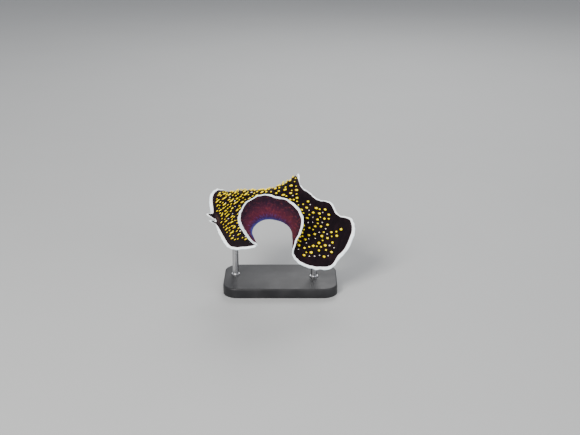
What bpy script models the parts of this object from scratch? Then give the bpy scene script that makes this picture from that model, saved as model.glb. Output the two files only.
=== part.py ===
"""Gold-dotted flatworm: a still, life-size museum model of a swimming polyclad on a display stand.

The animal is one thin, folded sheet. Its midline, its two margins and the slope across the midline are
smooth curves through a few measured points, and the ribs lofted between them give the whole sheet. It is
parted by narrow gaps into head, body lengths, frills, tail and white rim, each a closed plate, and short
papillae that lean towards the tail grow from its back.

Frame: metres, +Z up, head towards -X, the side that is seen towards -Y, origin on the floor under the
middle of the model. The sizes below are in millimetres, and shares run from 0 at the head to 1 at the tail.
"""

from math import pi, radians
import random

import bmesh
import bpy
from mathutils import Matrix, Vector
import numpy as np

MODEL_NAME = "gold_dotted_flatworm"
MM = 0.001
GAP = 0.3

# Pose: (share of the length, right, away from the viewer, up) before the whole animal is pitched.
MIDLINE = (
    (0.00, -25.9, 0.0, 0.6), (0.16, -21.0, 0.0, 3.4), (0.31, -13.2, 0.0, 6.4), (0.48, -3.8, 0.0, 7.8),
    (0.65, 7.2, 0.0, 4.8), (0.82, 17.6, 0.0, -2.4), (1.00, 28.8, 0.0, -7.8),
)
LEFT_MARGIN = (
    (0.00, -25.6, 0.0, -1.1), (0.07, -24.4, -2.5, -4.4), (0.12, -22.8, -4.4, -7.1),
    (0.16, -20.2, -6.0, -10.2), (0.20, -15.7, -6.8, -10.8), (0.25, -8.8, -8.8, -9.4),
    (0.28, -11.0, -11.0, -7.6), (0.31, -13.7, -13.0, -4.4), (0.38, -15.9, -15.5, 2.2),
    (0.43, -13.2, -15.6, 7.2), (0.50, -5.4, -15.0, 10.7), (0.545, 0.4, -14.8, 9.6),
    (0.58, 4.2, -14.5, 8.2), (0.65, 9.3, -12.5, 0.2),
    (0.73, 5.1, -9.0, -11.6), (0.79, 8.0, -7.2, -16.6), (0.86, 15.4, -5.6, -18.8), (0.91, 21.1, -4.0, -17.9),
    (0.945, 23.5, -2.8, -14.9), (0.975, 26.0, -1.6, -12.4), (1.00, 27.9, -0.8, -9.8),
)
RIGHT_MARGIN = (
    (0.00, -27.6, 0.0, 3.6), (0.05, -28.3, 2.0, 6.6), (0.09, -28.5, 3.5, 9.4), (0.125, -27.7, 5.0, 11.9),
    (0.16, -25.5, 6.8, 13.4), (0.20, -22.2, 9.5, 12.5), (0.27, -17.6, 12.0, 9.8), (0.38, -10.6, 14.5, 7.2),
    (0.47, -3.6, 15.0, 7.6), (0.54, 3.2, 12.5, 13.6), (0.58, 7.5, 10.0, 19.7), (0.62, 7.5, 6.5, 16.4),
    (0.675, 11.6, 4.6, 12.2), (0.73, 15.8, 4.0, 9.0), (0.775, 19.6, 4.4, 8.4), (0.82, 22.2, 4.0, 5.6),
    (0.855, 23.8, 3.0, 2.8), (0.89, 26.9, 2.6, 2.2), (0.93, 29.3, 2.2, 0.6), (0.965, 30.1, 1.6, -2.4),
    (1.00, 29.8, 0.8, -5.6),
)
# Slope across the midline: (share, reach to the left, reach to the right, part of it towards the viewer).
CROSS_SLOPE = (
    (0.00, 2.5, 2.5, 0.3), (0.16, 13.0, 14.0, 0.4), (0.24, 22.0, 21.0, 0.43), (0.31, 28.0, 23.0, 0.45),
    (0.40, 28.0, 20.0, 0.42), (0.48, 28.0, 21.0, 0.4), (0.56, 28.0, 25.0, 0.4), (0.65, 28.0, 16.0, 0.4),
    (0.82, 18.0, 12.0, 0.35), (1.00, 3.0, 3.0, 0.3),
)
PITCH = radians(20.0)       # the whole animal leans back by this much on its stand
MIDDLE = (-0.071, -1.354, 28.2)   # where the origin of the pose stands: right, away and above the floor

# Sheet
SHARES = (0.0, 0.1, 0.3, 0.6, 0.85, 1.0)
MEDIAN_THICKNESS = (1.0, 1.9, 2.5, 2.4, 1.7, 0.8)   # along the midline, at the shares above
MARGIN_THICKNESS = 0.62
RIM_WIDTH = 1.3
LENGTH_CELLS = 75           # cross lines of the whole sheet
MEDIAN_REACH = 0.45         # share of each half that belongs to the body, the rest is frill
MEDIAN_CELLS = 4            # cells in each half of the body
FRILL_CELLS = 4
RIM_CELLS = 2
RIM_SEAM = 0.03             # across of the seam between the two rims at the end of the tail
NORMAL_SHARES = (0.01, 0.985)    # normals are read inside these and inside NORMAL_REACH, because ribs and
NORMAL_REACH = 0.95              # margins run nearly alike at the corners

# Cross lines where the sheet is parted
HEAD_END = 12
BODY_LENGTHS = {"front": (12, 24), "forward": (24, 36), "middle": (36, 48), "rear": (48, 60)}
TAIL_START = 60
RIM_LENGTHS = {"front": (0, 24), "middle": (24, 48), "rear": (48, LENGTH_CELLS)}

# Tentacles: folds of the front margin
TENTACLES = {
    "tentacle_left": {"root": (-1.0, -0.14), "tip": (-28.3, -1.6, 0.5)},
    "tentacle_right": {"root": (0.14, 1.0), "tip": (-29.8, 0.9, 3.0)},
}
TENTACLE_THICKNESS = 0.55
TENTACLE_GAP = 0.52         # ahead of the front margin, so that the slanted faces clear each other
TENTACLE_TAPER = 0.5        # share of the thickness that is lost towards the tip
TENTACLE_RIDGE = 0.16       # how far the fold stands up between its two edges, as a share of its width
TENTACLE_TIP_WIDTH = 0.65
TENTACLE_CELLS = (6, 4)

# Papillae, from the head to the tail
SEED = 11
PAPILLA_DRAWS = 9000
PAPILLA_SPACING = (2.0, 2.55)
PAPILLA_LENGTH = (1.65, 1.2)
PAPILLA_RADIUS = (0.36, 0.46)
PAPILLA_RISE_SHARES = (0.1, 0.25, 0.5, 0.65, 0.9)
PAPILLA_RISE = (38.0, 36.0, 36.0, 46.0, 62.0)       # degrees between a papilla and the back
PAPILLA_NECK = 0.78                 # width of the root against that of the tip
PAPILLA_EDGE = 0.8                  # clear distance from a root to the edge of its piece
PAPILLA_TIP_EDGE = 0.0              # and from the place under its tip
ROOT_COVER = 0.2                    # flesh left under a root
BAND_SHARES = (0.0, 0.15, 0.2, 0.35, 0.62, 0.75, 0.82, 0.9, 1.0)
LEFT_BAND = (1.6, 1.8, 2.2, 1.5, 1.2, 1.2, 3.4, 4.8, 5.2)      # black margin inside the white rim
RIGHT_BAND = (1.3, 1.3, 1.4, 1.5, 1.1, 2.4, 3.4, 4.8, 5.2)
BARE_NAPE = 2.6                     # bare distance behind the tentacles

# Low mounds on the midline of the underside: (piece, share, length, width, height)
UNDERSIDE_FORMS = {
    "mouth": ("body_forward", 0.352, 2.6, 1.3, 0.35),
    "sucker": ("body_middle", 0.56, 1.6, 1.6, 0.45),
}

# Stand
BASE_LENGTH, BASE_WIDTH, BASE_HEIGHT = 46.0, 26.0, 4.0
BASE_CORNER, BASE_CORNER_SEGMENTS, BASE_BEVEL = 6.0, 8, 0.6
ROD_RADIUS, ROD_SIDES = 1.25, 24
RODS = {"stand_rod_front": (0.225, 0.10), "stand_rod_rear": (0.755, 0.05)}   # share and side it reaches


class Curve:
    """A smooth curve, straight at its ends, through values given at shares of the length."""

    def __init__(self, rows):
        table = np.array(rows, float)
        self.shares = table[:, 0]
        self.values = table[:, 1:]
        self.steps = np.diff(self.shares)
        count = len(self.shares)
        matrix = np.eye(count)
        target = np.zeros((count, self.values.shape[1]))
        slopes = np.diff(self.values, axis=0) / self.steps[:, None]
        for i in range(1, count - 1):
            before, after = self.steps[i - 1], self.steps[i]
            matrix[i, i - 1:i + 2] = before, 2 * (before + after), after
            target[i] = 6 * (slopes[i] - slopes[i - 1])
        self.bends = np.linalg.solve(matrix, target)

    def _span(self, share):
        index = np.clip(np.searchsorted(self.shares, share, side="right") - 1, 0, len(self.steps) - 1)
        step = self.steps[index][:, None]
        start = (self.shares[index + 1][:, None] - share[:, None]) / step
        return index, step, start, 1 - start

    def at(self, share):
        index, step, a, b = self._span(share)
        bend = (a ** 3 - a) * self.bends[index] + (b ** 3 - b) * self.bends[index + 1]
        return a * self.values[index] + b * self.values[index + 1] + bend * step ** 2 / 6

    def slope(self, share):
        index, step, a, b = self._span(share)
        chord = (self.values[index + 1] - self.values[index]) / step
        bend = (1 - 3 * a ** 2) * self.bends[index] + (3 * b ** 2 - 1) * self.bends[index + 1]
        return chord + bend * step / 6


MIDLINE_CURVE = Curve(MIDLINE)
LEFT_CURVE = Curve(LEFT_MARGIN)
RIGHT_CURVE = Curve(RIGHT_MARGIN)
SLOPE_CURVE = Curve(CROSS_SLOPE)


def unit(vectors):
    """The same directions, each of length 1."""
    return vectors / np.linalg.norm(vectors, axis=-1, keepdims=True)


def sheet(share, across):
    """Points of the middle surface; across is -1 at the left margin, 0 on the midline, 1 at the right."""
    share, across = np.broadcast_arrays(np.asarray(share, float), np.asarray(across, float))
    shape = share.shape
    share = share.ravel()
    across = across.ravel()
    middle = MIDLINE_CURVE.at(share)
    viewer = np.array([0.0, -1.0, 0.0])
    down = unit(np.cross(viewer, MIDLINE_CURVE.slope(share)))
    down = np.where(down[:, 2:3] > 0, -down, down)
    left_reach, right_reach, lean = SLOPE_CURVE.at(share).T[:, :, None]
    direction = down * np.sqrt(1 - lean ** 2) + viewer * lean
    part = np.abs(across)[:, None]
    left = LEFT_CURVE.at(share) - middle - direction * left_reach
    right = RIGHT_CURVE.at(share) - middle + direction * right_reach
    left = middle + part * direction * left_reach + part ** 2 * left
    right = middle - part * direction * right_reach + part ** 2 * right
    return np.where(across[:, None] < 0, left, right).reshape(shape + (3,))


def sheet_slopes(share, across):
    """How the sheet runs per unit of share and per unit of across."""
    step = 1e-4
    share = np.asarray(share, float)
    across = np.asarray(across, float)
    before, after = np.clip(share - step, 0, 1), np.clip(share + step, 0, 1)
    along = (sheet(after, across) - sheet(before, across)) / (after - before)[..., None]
    inner, outer = np.clip(across - step, -1, 1), np.clip(across + step, -1, 1)
    outward = (sheet(share, outer) - sheet(share, inner)) / (outer - inner)[..., None]
    return along, outward


def sheet_normal(share, across):
    """Unit normal of the sheet on the back of the animal."""
    share = np.clip(share, *NORMAL_SHARES)
    along, outward = sheet_slopes(share, np.clip(across, -NORMAL_REACH, NORMAL_REACH))
    return unit(np.cross(along, outward))


def thickness(share, across):
    """Thickness of the sheet, most along the midline."""
    median = np.interp(share, SHARES, MEDIAN_THICKNESS)
    return MARGIN_THICKNESS + (median - MARGIN_THICKNESS) * (1 - np.abs(across) ** 1.6)


def spread(share, across):
    """Millimetres that one unit of share and one unit of across cover, square to the other."""
    along, outward = sheet_slopes(share, across)
    skew = np.linalg.norm(np.cross(unit(along), unit(outward)), axis=-1)
    skew = np.maximum(skew, 0.4)
    return np.linalg.norm(along, axis=-1) * skew, np.linalg.norm(outward, axis=-1) * skew


def rim_line(share, side):
    """Across of the line where the white rim starts."""
    _, width = spread(share, np.full_like(share, side))
    return side * (1 - np.minimum(RIM_WIDTH / width, 0.5))


def new_material(name, colour, roughness, metallic=0.0):
    material = bpy.data.materials.new(name)
    material.use_nodes = True
    shader = material.node_tree.nodes["Principled BSDF"]
    shader.inputs["Base Color"].default_value = (*colour, 1.0)
    shader.inputs["Roughness"].default_value = roughness
    shader.inputs["Metallic"].default_value = metallic
    material.diffuse_color = (*colour, 1.0)
    return material


def new_object(name, bm, collection, parent, material=None):
    """Turns a bmesh into an object, with its faces pointing out."""
    bmesh.ops.recalc_face_normals(bm, faces=bm.faces)
    if bm.calc_volume(signed=True) < 0:
        bmesh.ops.reverse_faces(bm, faces=bm.faces)
    mesh = bpy.data.meshes.new(name)
    bm.to_mesh(mesh)
    bm.free()
    if material:
        mesh.materials.append(material)
    obj = bpy.data.objects.new(name, mesh)
    collection.objects.link(obj)
    obj.parent = parent
    return obj


def plate(name, cells, surface, collection, parent, material):
    """A closed curved plate, split into triangles alike on both faces.

    surface takes two arrays from 0 to 1 and gives the middle points, unit normals and thickness.
    """
    bm = bmesh.new()
    bmesh.ops.create_grid(bm, x_segments=cells[0], y_segments=cells[1], size=0.5)
    bmesh.ops.triangulate(bm, faces=bm.faces, quad_method="FIXED")
    flat = np.array([vert.co[:2] for vert in bm.verts]) + 0.5
    points, normals, thick = surface(flat[:, 0], flat[:, 1])
    underside = list(bm.verts)
    raised = bmesh.ops.extrude_face_region(bm, geom=list(bm.faces), use_keep_orig=True)["geom"]
    back = {tuple(vert.co[:2]): vert for vert in raised if isinstance(vert, bmesh.types.BMVert)}
    upper_side = set(back.values())
    for face in [face for face in bm.faces if len(face.verts) == 4]:
        order = sorted(face.verts, key=lambda vert: (vert in upper_side, vert.co.x + vert.co.y))
        bmesh.utils.face_split(face, order[0], order[3])
    for i, vert in enumerate(underside):
        offset = normals[i] * thick[i] / 2
        upper = back[tuple(vert.co[:2])]
        vert.co = Vector((points[i] - offset) * MM)
        upper.co = Vector((points[i] + offset) * MM)
    return new_object(name, bm, collection, parent, material)


def sheet_surface(lines, low, high):
    """The surface of a piece between two cross lines and two edge lines.

    lines are the first and last cross line; low and high give the across of each edge at a share, and
    whether the edge meets a neighbour.
    """
    first, last = lines[0] / LENGTH_CELLS, lines[1] / LENGTH_CELLS

    def surface(x, y):
        share = first + (last - first) * x
        edges = []
        for (edge, meets), way in ((low, 1), (high, -1)):
            line = edge(share)
            if meets:
                line = line + way * GAP / 2 / spread(share, line)[1]
            edges.append(line)
        across = edges[0] + (edges[1] - edges[0]) * y
        half_gap = GAP / 2 / spread(share, across)[0]
        share = share + half_gap * np.where(first > 0, 1 - x, 0) - half_gap * np.where(last < 1, x, 0)
        return sheet(share, across), sheet_normal(share, across), thickness(share, across)

    return surface


def constant(across):
    return lambda share: np.full_like(share, across)


def make_sheet_pieces(collection, parent, material):
    """Head, body lengths, frills and tail. Returns each object with its lines and its edges."""
    left_rim = (lambda share: rim_line(share, -1.0), True)
    right_rim = (lambda share: rim_line(share, 1.0), True)
    whole = 2 * (MEDIAN_CELLS + FRILL_CELLS)
    plan = [("head", (0, HEAD_END), left_rim, right_rim, whole)]
    for part, lines in BODY_LENGTHS.items():
        left_edge = (constant(-MEDIAN_REACH), True)
        right_edge = (constant(MEDIAN_REACH), True)
        plan.append((f"body_{part}", lines, left_edge, right_edge, 2 * MEDIAN_CELLS))
        plan.append((f"frill_left_{part}", lines, left_rim, left_edge, FRILL_CELLS))
        plan.append((f"frill_right_{part}", lines, right_edge, right_rim, FRILL_CELLS))
    pieces = []
    for name, lines, low, high, cells in plan:
        count = (lines[1] - lines[0], cells)
        obj = plate(name, count, sheet_surface(lines, low, high), collection, parent, material)
        pieces.append((obj, lines, low[0], high[0]))
    tail = plate("tail", (LENGTH_CELLS - TAIL_START, whole), tail_surface, collection, parent, material)
    pieces.append((tail, (TAIL_START, LENGTH_CELLS), left_rim[0], right_rim[0]))
    return pieces


def tail_end(inset):
    """Share that lies an inset in from the end of the tail."""
    return 1 - inset / np.linalg.norm(MIDLINE_CURVE.slope(np.ones(1)))


def tail_surface(x, y):
    """The tail, inside the rim that goes round its end."""
    first = TAIL_START / LENGTH_CELLS
    share = first + (1 - first) * x
    across = 2 * y - 1
    for _ in range(3):
        start = first + GAP / 2 / spread(share, across)[0]
        end = tail_end(RIM_WIDTH + GAP / 2)
        share = start + (end - start) * x
        low = rim_line(share, -1.0)
        high = rim_line(share, 1.0)
        low = low + GAP / 2 / spread(share, low)[1]
        high = high - GAP / 2 / spread(share, high)[1]
        across = low + (high - low) * y
    return sheet(share, across), sheet_normal(share, across), thickness(share, across)


def make_rim(name, side, lines, collection, parent, material):
    """A white strip along one margin; the rearmost one turns the corner to the middle of the tail's end."""
    turns = lines[1] == LENGTH_CELLS
    end_cells = 3 if turns else 0
    side_cells = lines[1] - lines[0]
    total = side_cells + end_cells
    first, last = lines[0] / LENGTH_CELLS, lines[1] / LENGTH_CELLS

    def surface(x, y):
        step = x * total
        on_side = np.minimum(step, side_cells) / side_cells
        on_end = np.maximum(step - side_cells, 0) / max(end_cells, 1)
        outer_share = first + (last - first) * on_side
        outer_across = side * (1 - on_end * (1 - RIM_SEAM))
        inner_last = tail_end(RIM_WIDTH - GAP / 2) if turns else last
        inner_share = first + (inner_last - first) * on_side
        inner_line = rim_line(inner_share, side)
        inner_line = inner_line + side * GAP / 2 / spread(inner_share, inner_line)[1]
        inner_across = inner_line * (1 - on_end) + side * RIM_SEAM * on_end
        share = outer_share + (inner_share - outer_share) * y
        across = outer_across + (inner_across - outer_across) * y
        half_gap = GAP / 2 / spread(share, across)[0]
        if lines[0] > 0:
            share = share + half_gap * (step < 0.5)
        if not turns:
            share = share - half_gap * (step > total - 0.5)
        return sheet(share, across), sheet_normal(share, across), thickness(share, across)

    return plate(name, (total, RIM_CELLS), surface, collection, parent, material)


def fold_points(root, tip, x, y):
    """A pointed fold from one half of the front margin, x from its root to its tip and y across it."""
    y = np.clip(y, 0, 1)
    across = root[0] + (root[1] - root[0]) * y
    edge = sheet(np.zeros_like(x), across)
    _, outward = sheet_slopes(np.zeros_like(x), across)
    side = unit(outward.mean(axis=0))
    back = unit(sheet_normal(np.zeros_like(x), across).mean(axis=0))
    forward = np.array(tip) - edge.mean(axis=0)
    forward = unit(forward - side * (forward @ side))
    end = np.array(tip) + np.outer((y - 0.5) * TENTACLE_TIP_WIDTH, side)
    root_width = np.linalg.norm(sheet([0.0], [root[1]]) - sheet([0.0], [root[0]]))
    width = root_width + (TENTACLE_TIP_WIDTH - root_width) * x
    swell = TENTACLE_RIDGE * width * (1 - (2 * y - 1) ** 2) * np.sin(pi * np.clip(x, 0, 1)) ** 1.5
    points = edge + (end - edge) * x[:, None] + forward * TENTACLE_GAP * (1 - x[:, None])
    return points + back * swell[:, None]


def make_tentacle(name, root, tip, collection, parent, material):
    """One pseudotentacle, a folded ear of the front margin."""

    def surface(x, y):
        step = 1e-3
        forward = fold_points(root, tip, x + step, y) - fold_points(root, tip, x - step, y)
        sideways = fold_points(root, tip, x, y + step) - fold_points(root, tip, x, y - step)
        normals = unit(np.cross(sideways, forward))
        return fold_points(root, tip, x, y), normals, TENTACLE_THICKNESS * (1 - TENTACLE_TAPER * x)

    return plate(name, TENTACLE_CELLS, surface, collection, parent, material)


def papilla_sites():
    """Seeded places of the papillae on the back: (share, across), no two closer than the spacing."""
    draw = random.Random(SEED)
    places = np.array([(draw.uniform(0.02, 0.97), draw.uniform(-0.97, 0.97)) for _ in range(PAPILLA_DRAWS)])
    points = sheet(places[:, 0], places[:, 1])
    _, width = spread(places[:, 0], np.sign(places[:, 1]))
    tail = (1 - places[:, 0]) * np.linalg.norm(MIDLINE_CURVE.slope(np.ones(1)))
    margin = np.minimum((1 - np.abs(places[:, 1])) * width, tail) - RIM_WIDTH
    left_band = np.interp(places[:, 0], BAND_SHARES, LEFT_BAND)
    right_band = np.interp(places[:, 0], BAND_SHARES, RIGHT_BAND)
    inside = margin > np.where(places[:, 1] < 0, left_band, right_band)
    inside &= np.linalg.norm(points - sheet([0.0], [0.0]), axis=1) > BARE_NAPE
    spacing = np.interp(places[:, 0], (0.1, 0.9), PAPILLA_SPACING)
    chosen = []
    for i in np.flatnonzero(inside):
        away = np.linalg.norm(points[chosen] - points[i], axis=1)
        if not chosen or away.min() > spacing[i]:
            chosen.append(i)
    return places[chosen]


def clear_of_edges(lines, low, high, share, across, distance):
    """Whether a place on a piece, between its cross lines and edges, lies a distance inside them all."""
    first, last = lines[0] / LENGTH_CELLS, lines[1] / LENGTH_CELLS
    spot = np.array([share]), np.array([across])
    long_step, wide_step = (step[0] for step in spread(*spot))
    ends = (share - first if first > 0 else 9.0, last - share if last < 1 else 9.0)
    sides = across - low(spot[0])[0], high(spot[0])[0] - across
    return min(ends) * long_step > distance and min(sides) * wide_step > distance


def place_ahead(share, across, step):
    """The place on the sheet that a step in millimetres along it leads to."""
    along, outward = (slope[0] for slope in sheet_slopes(np.array([share]), np.array([across])))
    grid = np.array([[along @ along, along @ outward], [along @ outward, outward @ outward]])
    move = np.linalg.solve(grid, np.array([along @ step, outward @ step]))
    return share + move[0], across + move[1]


def papilla_mesh(length, radius, depth):
    """A short knob, a little wider towards its blunt tip, with its root below the ground plane."""
    bm = bmesh.new()
    bmesh.ops.create_icosphere(bm, subdivisions=1, radius=1.0)
    for vert in bm.verts:
        pole = abs(vert.co.z) > 0.9
        upper = vert.co.z > 0
        if pole:
            height = length if upper else -depth
        else:
            height = length * 0.72 if upper else -depth * 0.8
            flat = Vector((vert.co.x, vert.co.y)).normalized() * radius * (1.0 if upper else PAPILLA_NECK)
            vert.co.x, vert.co.y = flat
        vert.co.z = height
    bmesh.ops.scale(bm, vec=(MM, MM, MM), verts=bm.verts)
    return bm


def grow_papillae(pieces, forms, parent):
    """Sets papillae on each piece of the back and gives a collection of them for each piece."""
    sites = papilla_sites()
    draw = random.Random(SEED + 1)
    grown = {}
    for obj, lines, low, high in pieces:
        first, last = lines[0] / LENGTH_CELLS, lines[1] / LENGTH_CELLS
        group = bpy.data.collections.new(f"papillae_{obj.name}")
        forms.children.link(group)
        grown[obj] = group
        for share, across in sites:
            if not first < share < last:
                continue
            if not clear_of_edges(lines, low, high, share, across, PAPILLA_EDGE):
                continue
            spot = np.array([share]), np.array([across])
            length = np.interp(share, (0.1, 0.9), PAPILLA_LENGTH) * draw.uniform(0.85, 1.12)
            radius = np.interp(share, (0.1, 0.9), PAPILLA_RADIUS) * draw.uniform(0.9, 1.1)
            rise = radians(np.interp(share, PAPILLA_RISE_SHARES, PAPILLA_RISE) + draw.uniform(-4, 4))
            flesh = thickness(*spot)[0] - ROOT_COVER
            neck = radius * PAPILLA_NECK
            depth = min((flesh - neck * np.cos(rise)) / np.sin(rise), 1.2)
            depth = min(depth, (PAPILLA_EDGE - neck * np.sin(rise)) / np.cos(rise))
            normal = sheet_normal(*spot)[0]
            lean = MIDLINE_CURVE.slope(spot[0])[0]
            lean = unit(lean - normal * (lean @ normal))
            tip = place_ahead(share, across, lean * length * np.cos(rise))
            if not clear_of_edges(lines, low, high, *tip, PAPILLA_TIP_EDGE):
                continue
            axis = Vector(lean * np.cos(rise) + normal * np.sin(rise))
            foot = Vector(sheet(*spot)[0] + normal * thickness(*spot)[0] / 2)
            papilla = new_object(f"papilla_{obj.name}", papilla_mesh(length, radius, depth), group, parent)
            papilla.location = foot * MM
            papilla.rotation_mode = "QUATERNION"
            papilla.rotation_quaternion = axis.to_track_quat("Z", "Y")
    return grown


def add_underside_forms(grown, parent):
    """Sets the mouth's lips and the sucker on the underside."""
    groups = {obj.name: group for obj, group in grown.items()}
    for name, (piece, share, length, width, height) in UNDERSIDE_FORMS.items():
        bm = bmesh.new()
        bmesh.ops.create_icosphere(bm, subdivisions=2, radius=1.0)
        bmesh.ops.scale(bm, vec=Vector((length / 2, width / 2, height)) * MM, verts=bm.verts)
        mound = new_object(name, bm, groups[piece], parent)
        spot = np.array([share]), np.array([0.0])
        along = unit(sheet_slopes(*spot)[0][0])
        normal = sheet_normal(*spot)[0]
        mound.location = Vector(sheet(*spot)[0] - normal * thickness(*spot)[0] / 2) * MM
        mound.rotation_mode = "QUATERNION"
        turn = Matrix((along, np.cross(normal, along), normal)).transposed()
        mound.rotation_quaternion = turn.to_quaternion()


def fuse(obj, group):
    """Joins a collection of closed pieces to an object and keeps its largest closed surface."""
    if not group.objects:
        return
    union = obj.modifiers.new("fuse", "BOOLEAN")
    union.operation = "UNION"
    union.operand_type = "COLLECTION"
    union.collection = group
    union.solver = "EXACT"
    bpy.context.view_layer.update()
    joined = obj.evaluated_get(bpy.context.evaluated_depsgraph_get())
    mesh = bpy.data.meshes.new_from_object(joined)
    obj.modifiers.clear()
    obj.data = mesh
    for piece in list(group.objects):
        bpy.data.objects.remove(piece)
    bm = bmesh.new()
    bm.from_mesh(mesh)
    loose = set(bm.faces)
    islands = []
    while loose:
        island = {loose.pop()}
        front = list(island)
        while front:
            near = {face for edge in front.pop().edges for face in edge.link_faces} & loose
            loose -= near
            island |= near
            front.extend(near)
        islands.append(island)
    islands.sort(key=len)
    for scrap in islands[:-1]:
        bmesh.ops.delete(bm, geom=list(scrap), context="FACES")
    bm.to_mesh(mesh)
    bm.free()


def pose_matrix():
    """From the pose's frame to the world, in millimetres."""
    return Matrix.Translation(MIDDLE) @ Matrix.Rotation(-PITCH, 4, "X")


def underside(share, across):
    """A point of the underside and its normal, in the world, in millimetres."""
    share, across = np.array([share]), np.array([across])
    normal = sheet_normal(share, across)[0]
    point = sheet(share, across)[0] - normal * thickness(share, across)[0] / 2
    matrix = pose_matrix()
    return matrix @ Vector(point), -(matrix.to_3x3() @ Vector(normal))


def height_under_sheet(share, across, x, y):
    """Height of the underside over a point of the floor, searched from a nearby place on the sheet."""
    step = 1e-3
    for _ in range(8):
        point = underside(share, across)[0]
        along = (underside(share + step, across)[0] - point) / step
        outward = (underside(share, across + step)[0] - point) / step
        slopes = Matrix(((along.x, outward.x), (along.y, outward.y)))
        move = slopes.inverted() @ Vector((x - point.x, y - point.y))
        share += move.x
        across += move.y
    point, normal = underside(share, across)
    return point.z + GAP / normal.z


def make_base(collection, material):
    """A flat plate with round corners and an eased upper edge."""
    bm = bmesh.new()
    bmesh.ops.create_cube(bm, size=1.0)
    bmesh.ops.scale(bm, vec=Vector((BASE_LENGTH, BASE_WIDTH, BASE_HEIGHT)) * MM, verts=bm.verts)
    bmesh.ops.translate(bm, vec=(0.0, 0.0, BASE_HEIGHT / 2 * MM), verts=bm.verts)
    corners = [edge for edge in bm.edges if abs(edge.verts[0].co.z - edge.verts[1].co.z) > MM]
    bmesh.ops.bevel(bm, geom=corners, offset=BASE_CORNER * MM, segments=BASE_CORNER_SEGMENTS, affect="EDGES",
                    profile=0.5)
    rim = [edge for edge in bm.edges if min(vert.co.z for vert in edge.verts) > (BASE_HEIGHT - 0.1) * MM]
    bmesh.ops.bevel(bm, geom=rim, offset=BASE_BEVEL * MM, segments=2, affect="EDGES", profile=0.5)
    return new_object("stand_base", bm, collection, None, material)


def make_rod(name, share, across, collection, material):
    """An upright rod, cut off along the underside that it carries."""
    foot = underside(share, across)[0]
    bm = bmesh.new()
    bmesh.ops.create_cone(bm, cap_ends=True, segments=ROD_SIDES, radius1=ROD_RADIUS * MM,
                          radius2=ROD_RADIUS * MM, depth=MM)
    top = [face for face in bm.faces if min(vert.co.z for vert in face.verts) > 0]
    bmesh.ops.poke(bm, faces=top)
    for vert in bm.verts:
        if vert.co.z > 0:
            x, y = vert.co.x / MM, vert.co.y / MM
            vert.co.z = height_under_sheet(share, across, foot.x + x, foot.y + y) * MM
        else:
            vert.co.z = (BASE_HEIGHT + GAP) * MM
    rod = new_object(name, bm, collection, None, material)
    rod.location = Vector((foot.x, foot.y, 0.0)) * MM
    return rod


def main():
    for obj in list(bpy.data.objects):
        bpy.data.objects.remove(obj)
    scene = bpy.context.scene
    model = bpy.data.collections.new(MODEL_NAME)
    scene.collection.children.link(model)
    forms = bpy.data.collections.new("forms")
    scene.collection.children.link(forms)
    pose = bpy.data.objects.new("pose", None)
    pose.location = Vector(MIDDLE) * MM
    pose.rotation_euler = (-PITCH, 0.0, 0.0)
    model.objects.link(pose)
    velvet = new_material("velvet_back", (0.020, 0.012, 0.012), 0.7)
    white = new_material("white_rim", (0.86, 0.88, 0.86), 0.5)
    pieces = make_sheet_pieces(model, pose, velvet)
    grown = grow_papillae(pieces, forms, pose)
    add_underside_forms(grown, pose)
    for obj, group in grown.items():
        fuse(obj, group)
    for side_name, side in (("left", -1.0), ("right", 1.0)):
        for part, lines in RIM_LENGTHS.items():
            make_rim(f"rim_{side_name}_{part}", side, lines, model, pose, white)
    for name, shape in TENTACLES.items():
        make_tentacle(name, shape["root"], shape["tip"], model, pose, velvet)
    make_base(model, new_material("stand_matte", (0.05, 0.05, 0.055), 0.6))
    steel = new_material("stand_steel", (0.62, 0.62, 0.63), 0.3, 1.0)
    for name, (share, across) in RODS.items():
        make_rod(name, share, across, model, steel)


main()
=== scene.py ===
"""Looks of the gold-dotted flatworm: one seamless skin, papillae, eye specks, the stand and the studio.

The animal is a single folded sheet. Its pose is read from smooth curves through a few measured points, in
millimetres, and every vertex of the skin carries how far it lies from the white margin and whether it is on
the back or on the underside, so that the colours follow the body. The blue band along the underside's
contour is painted sheen, placed where that contour lies in this view, and the cyan at the white margin's
rounded edge and in its flutes is painted shade.
"""

from dataclasses import dataclass, field
from enum import Enum
from functools import partial
import logging
from math import acos, cos, pi, radians, sin
from random import Random
from typing import Iterable, Optional, Sequence, Union

import bmesh
import bpy
from mathutils import Matrix, Vector
import numpy as np


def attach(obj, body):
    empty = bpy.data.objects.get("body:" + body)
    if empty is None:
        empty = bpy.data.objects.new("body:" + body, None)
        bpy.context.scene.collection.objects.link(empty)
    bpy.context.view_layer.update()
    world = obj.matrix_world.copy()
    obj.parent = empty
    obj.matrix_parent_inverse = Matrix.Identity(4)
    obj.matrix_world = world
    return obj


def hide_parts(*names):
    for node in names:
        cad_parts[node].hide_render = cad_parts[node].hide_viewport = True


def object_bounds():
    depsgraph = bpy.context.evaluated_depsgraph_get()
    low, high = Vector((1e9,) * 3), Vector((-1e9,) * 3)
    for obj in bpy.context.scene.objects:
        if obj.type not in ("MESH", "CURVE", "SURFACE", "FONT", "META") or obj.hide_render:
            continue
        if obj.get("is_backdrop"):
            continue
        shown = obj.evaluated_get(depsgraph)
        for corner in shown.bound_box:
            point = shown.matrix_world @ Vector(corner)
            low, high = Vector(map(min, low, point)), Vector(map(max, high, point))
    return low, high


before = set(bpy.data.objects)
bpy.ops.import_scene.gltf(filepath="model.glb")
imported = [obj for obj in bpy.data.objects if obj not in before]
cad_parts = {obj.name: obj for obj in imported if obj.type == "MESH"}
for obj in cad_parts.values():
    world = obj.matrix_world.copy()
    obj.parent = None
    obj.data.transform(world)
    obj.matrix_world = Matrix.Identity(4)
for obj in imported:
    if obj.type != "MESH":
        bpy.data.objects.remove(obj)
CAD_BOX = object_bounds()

logging.basicConfig(level=logging.INFO, format="%(message)s")
LOG = logging.getLogger("flatworm")

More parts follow.
